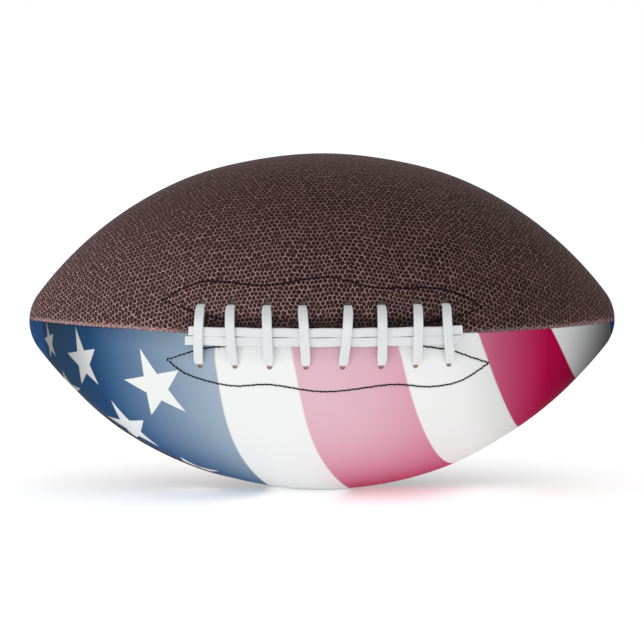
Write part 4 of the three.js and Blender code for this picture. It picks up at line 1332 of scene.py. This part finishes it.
black_thread = twisted_thread("black_thread", paint(8, 8, 9), paint(22, 21, 22))
black_thread.wear(*stitches, slot="facing_thread")
seams = ("top", "rear", "bottom", "left_front", "right_front")
seam_thread = twisted_thread("seam_thread", paint(24, 20, 18), paint(58, 48, 44))
seam_thread.wear(*named(*(f"{seam}_seam_thread" for seam in seams)))
gores = ("upper_front", "upper_rear", "lower_rear", "lower_front")
lining = woven_cloth("lining_cloth", paint(176, 160, 132), paint(228, 216, 194), pitch=0.9)
lining.wear(*named(*(f"{gore}_lining" for gore in gores)))
facing = woven_cloth("facing_cloth", paint(104, 92, 84), paint(150, 136, 124), pitch=0.7)
facing.wear(*named("upper_lace_facing", "lower_lace_facing"))
tongue = woven_cloth("tongue_felt", paint(98, 84, 74), paint(138, 120, 106), pitch=0.6)
tongue.wear(*named("lace_tongue"))
bladder_rubber = dusty_rubber("bladder_rubber", paint(22, 21, 21), paint(52, 50, 49))
bladder_rubber.wear(*named("bladder"))
valve_rubber = dusty_rubber("valve_rubber", paint(18, 18, 18), paint(44, 43, 42))
valve_rubber.wear(*valve.values(), slot="valve_rubber")

# %% [markdown]
# ## Floor and light
#
# The ball sits on a plain white sweep under soft, even light. A lamp at the left front, a little above the
# ball, gives the pebbles and the lace a shaded side, and a low strip in front brightens the print. The
# underside would go dark in the ball's own shadow, so a weak lamp lies on the floor and faces up, as on a
# light table. The floor takes the ball's shadow. To the camera, and in reflections, a little glow in the
# floor and a white world carry it up to white.

# %% Floor and world
FLOOR_HALF = 4.0 / MM
WORLD_LEVEL = 0.76
FLOOR_GLOW = 0.38
WHITE = (1, 1, 1, 1)


def seen_directly(nodes):
    """1 for rays from the camera, and for reflected or refracted ones."""
    path = nodes.node("ShaderNodeLightPath", {}).outputs
    return nodes.most(path["Is Camera Ray"], path["Is Glossy Ray"], path["Is Transmission Ray"])


corners = [(x * FLOOR_HALF, y * FLOOR_HALF, floor_height) for x, y in ((-1, -1), (1, -1), (1, 1), (-1, 1))]
floor = new_mesh("studio_floor", corners, [(0, 1, 2, 3)])
paper = Finish("floor_paper")
glow = paper.times(seen_directly(paper), FLOOR_GLOW)
paper.surface(colour=paint(251, 251, 251), roughness=1.0, specular=0.0, glow_colour=WHITE, glow=glow)
paper.wear(floor)

world = bpy.data.worlds.new("white_world")
bpy.context.scene.world = world
world.use_nodes = True
sky = Nodes(world.node_tree)
background = sky.tree.nodes["Background"]
sky.feed(background.inputs["Color"], WHITE)
sky.feed(background.inputs["Strength"], sky.ramp(seen_directly(sky), 0.0, 1.0, WORLD_LEVEL, 1.0))

# %% Lamps
LAMPS = {  # place, where it is aimed, width, height and power
    "key_lamp": ((-1.2, -1.2, 0.25), (0, 0, 0), 0.35, 0.35, 2.4),
    "front_strip": ((-0.1, -0.9, -0.06), (0, 0, 0), 1.1, 0.04, 0.7),
    "floor_lamp": ((0, -0.05, -0.0811), (0, -0.05, 0), 0.8, 0.5, 0.28),
}


def aim(thing, place, target):
    """Puts a lamp or the camera at a place, looking at the target."""
    thing.location = place
    thing.rotation_euler = (Vector(target) - Vector(place)).to_track_quat("-Z", "Y").to_euler()
    bpy.context.scene.collection.objects.link(thing)


for name, (place, target, width, height, power) in LAMPS.items():
    lamp = bpy.data.lights.new(name, "AREA")
    lamp.shape, lamp.size, lamp.size_y, lamp.energy = "RECTANGLE", width, height, power
    aim(bpy.data.objects.new(name, lamp), place, target)
    print(f"{name}: {power} W, {width} m wide")

# %% [markdown]
# ## Camera
#
# The picture looks taken from nearly two metres with a long lens, about five degrees above level: the front
# seam bows down by some 7 mm in the middle, which only that tilt gives. The camera leans by a hair too.

# %% Camera
CAMERA_DISTANCE = 1.8
CAMERA_RISE = math.radians(5.2)
CAMERA_LEAN = math.radians(0.15)
CAMERA_TARGET = (0, 0, -0.001)
FRAME_WIDTH = 0.3114  # at the middle of the ball

camera = bpy.data.cameras.new("camera")
camera.lens = camera.sensor_width * CAMERA_DISTANCE / FRAME_WIDTH
camera_object = bpy.data.objects.new("camera", camera)
eye = (0, -CAMERA_DISTANCE * math.cos(CAMERA_RISE), CAMERA_DISTANCE * math.sin(CAMERA_RISE))
aim(camera_object, eye, CAMERA_TARGET)
camera_object.rotation_euler.rotate_axis("Z", -CAMERA_LEAN)
bpy.context.scene.camera = camera_object
print(f"lens {camera.lens:.0f} mm")
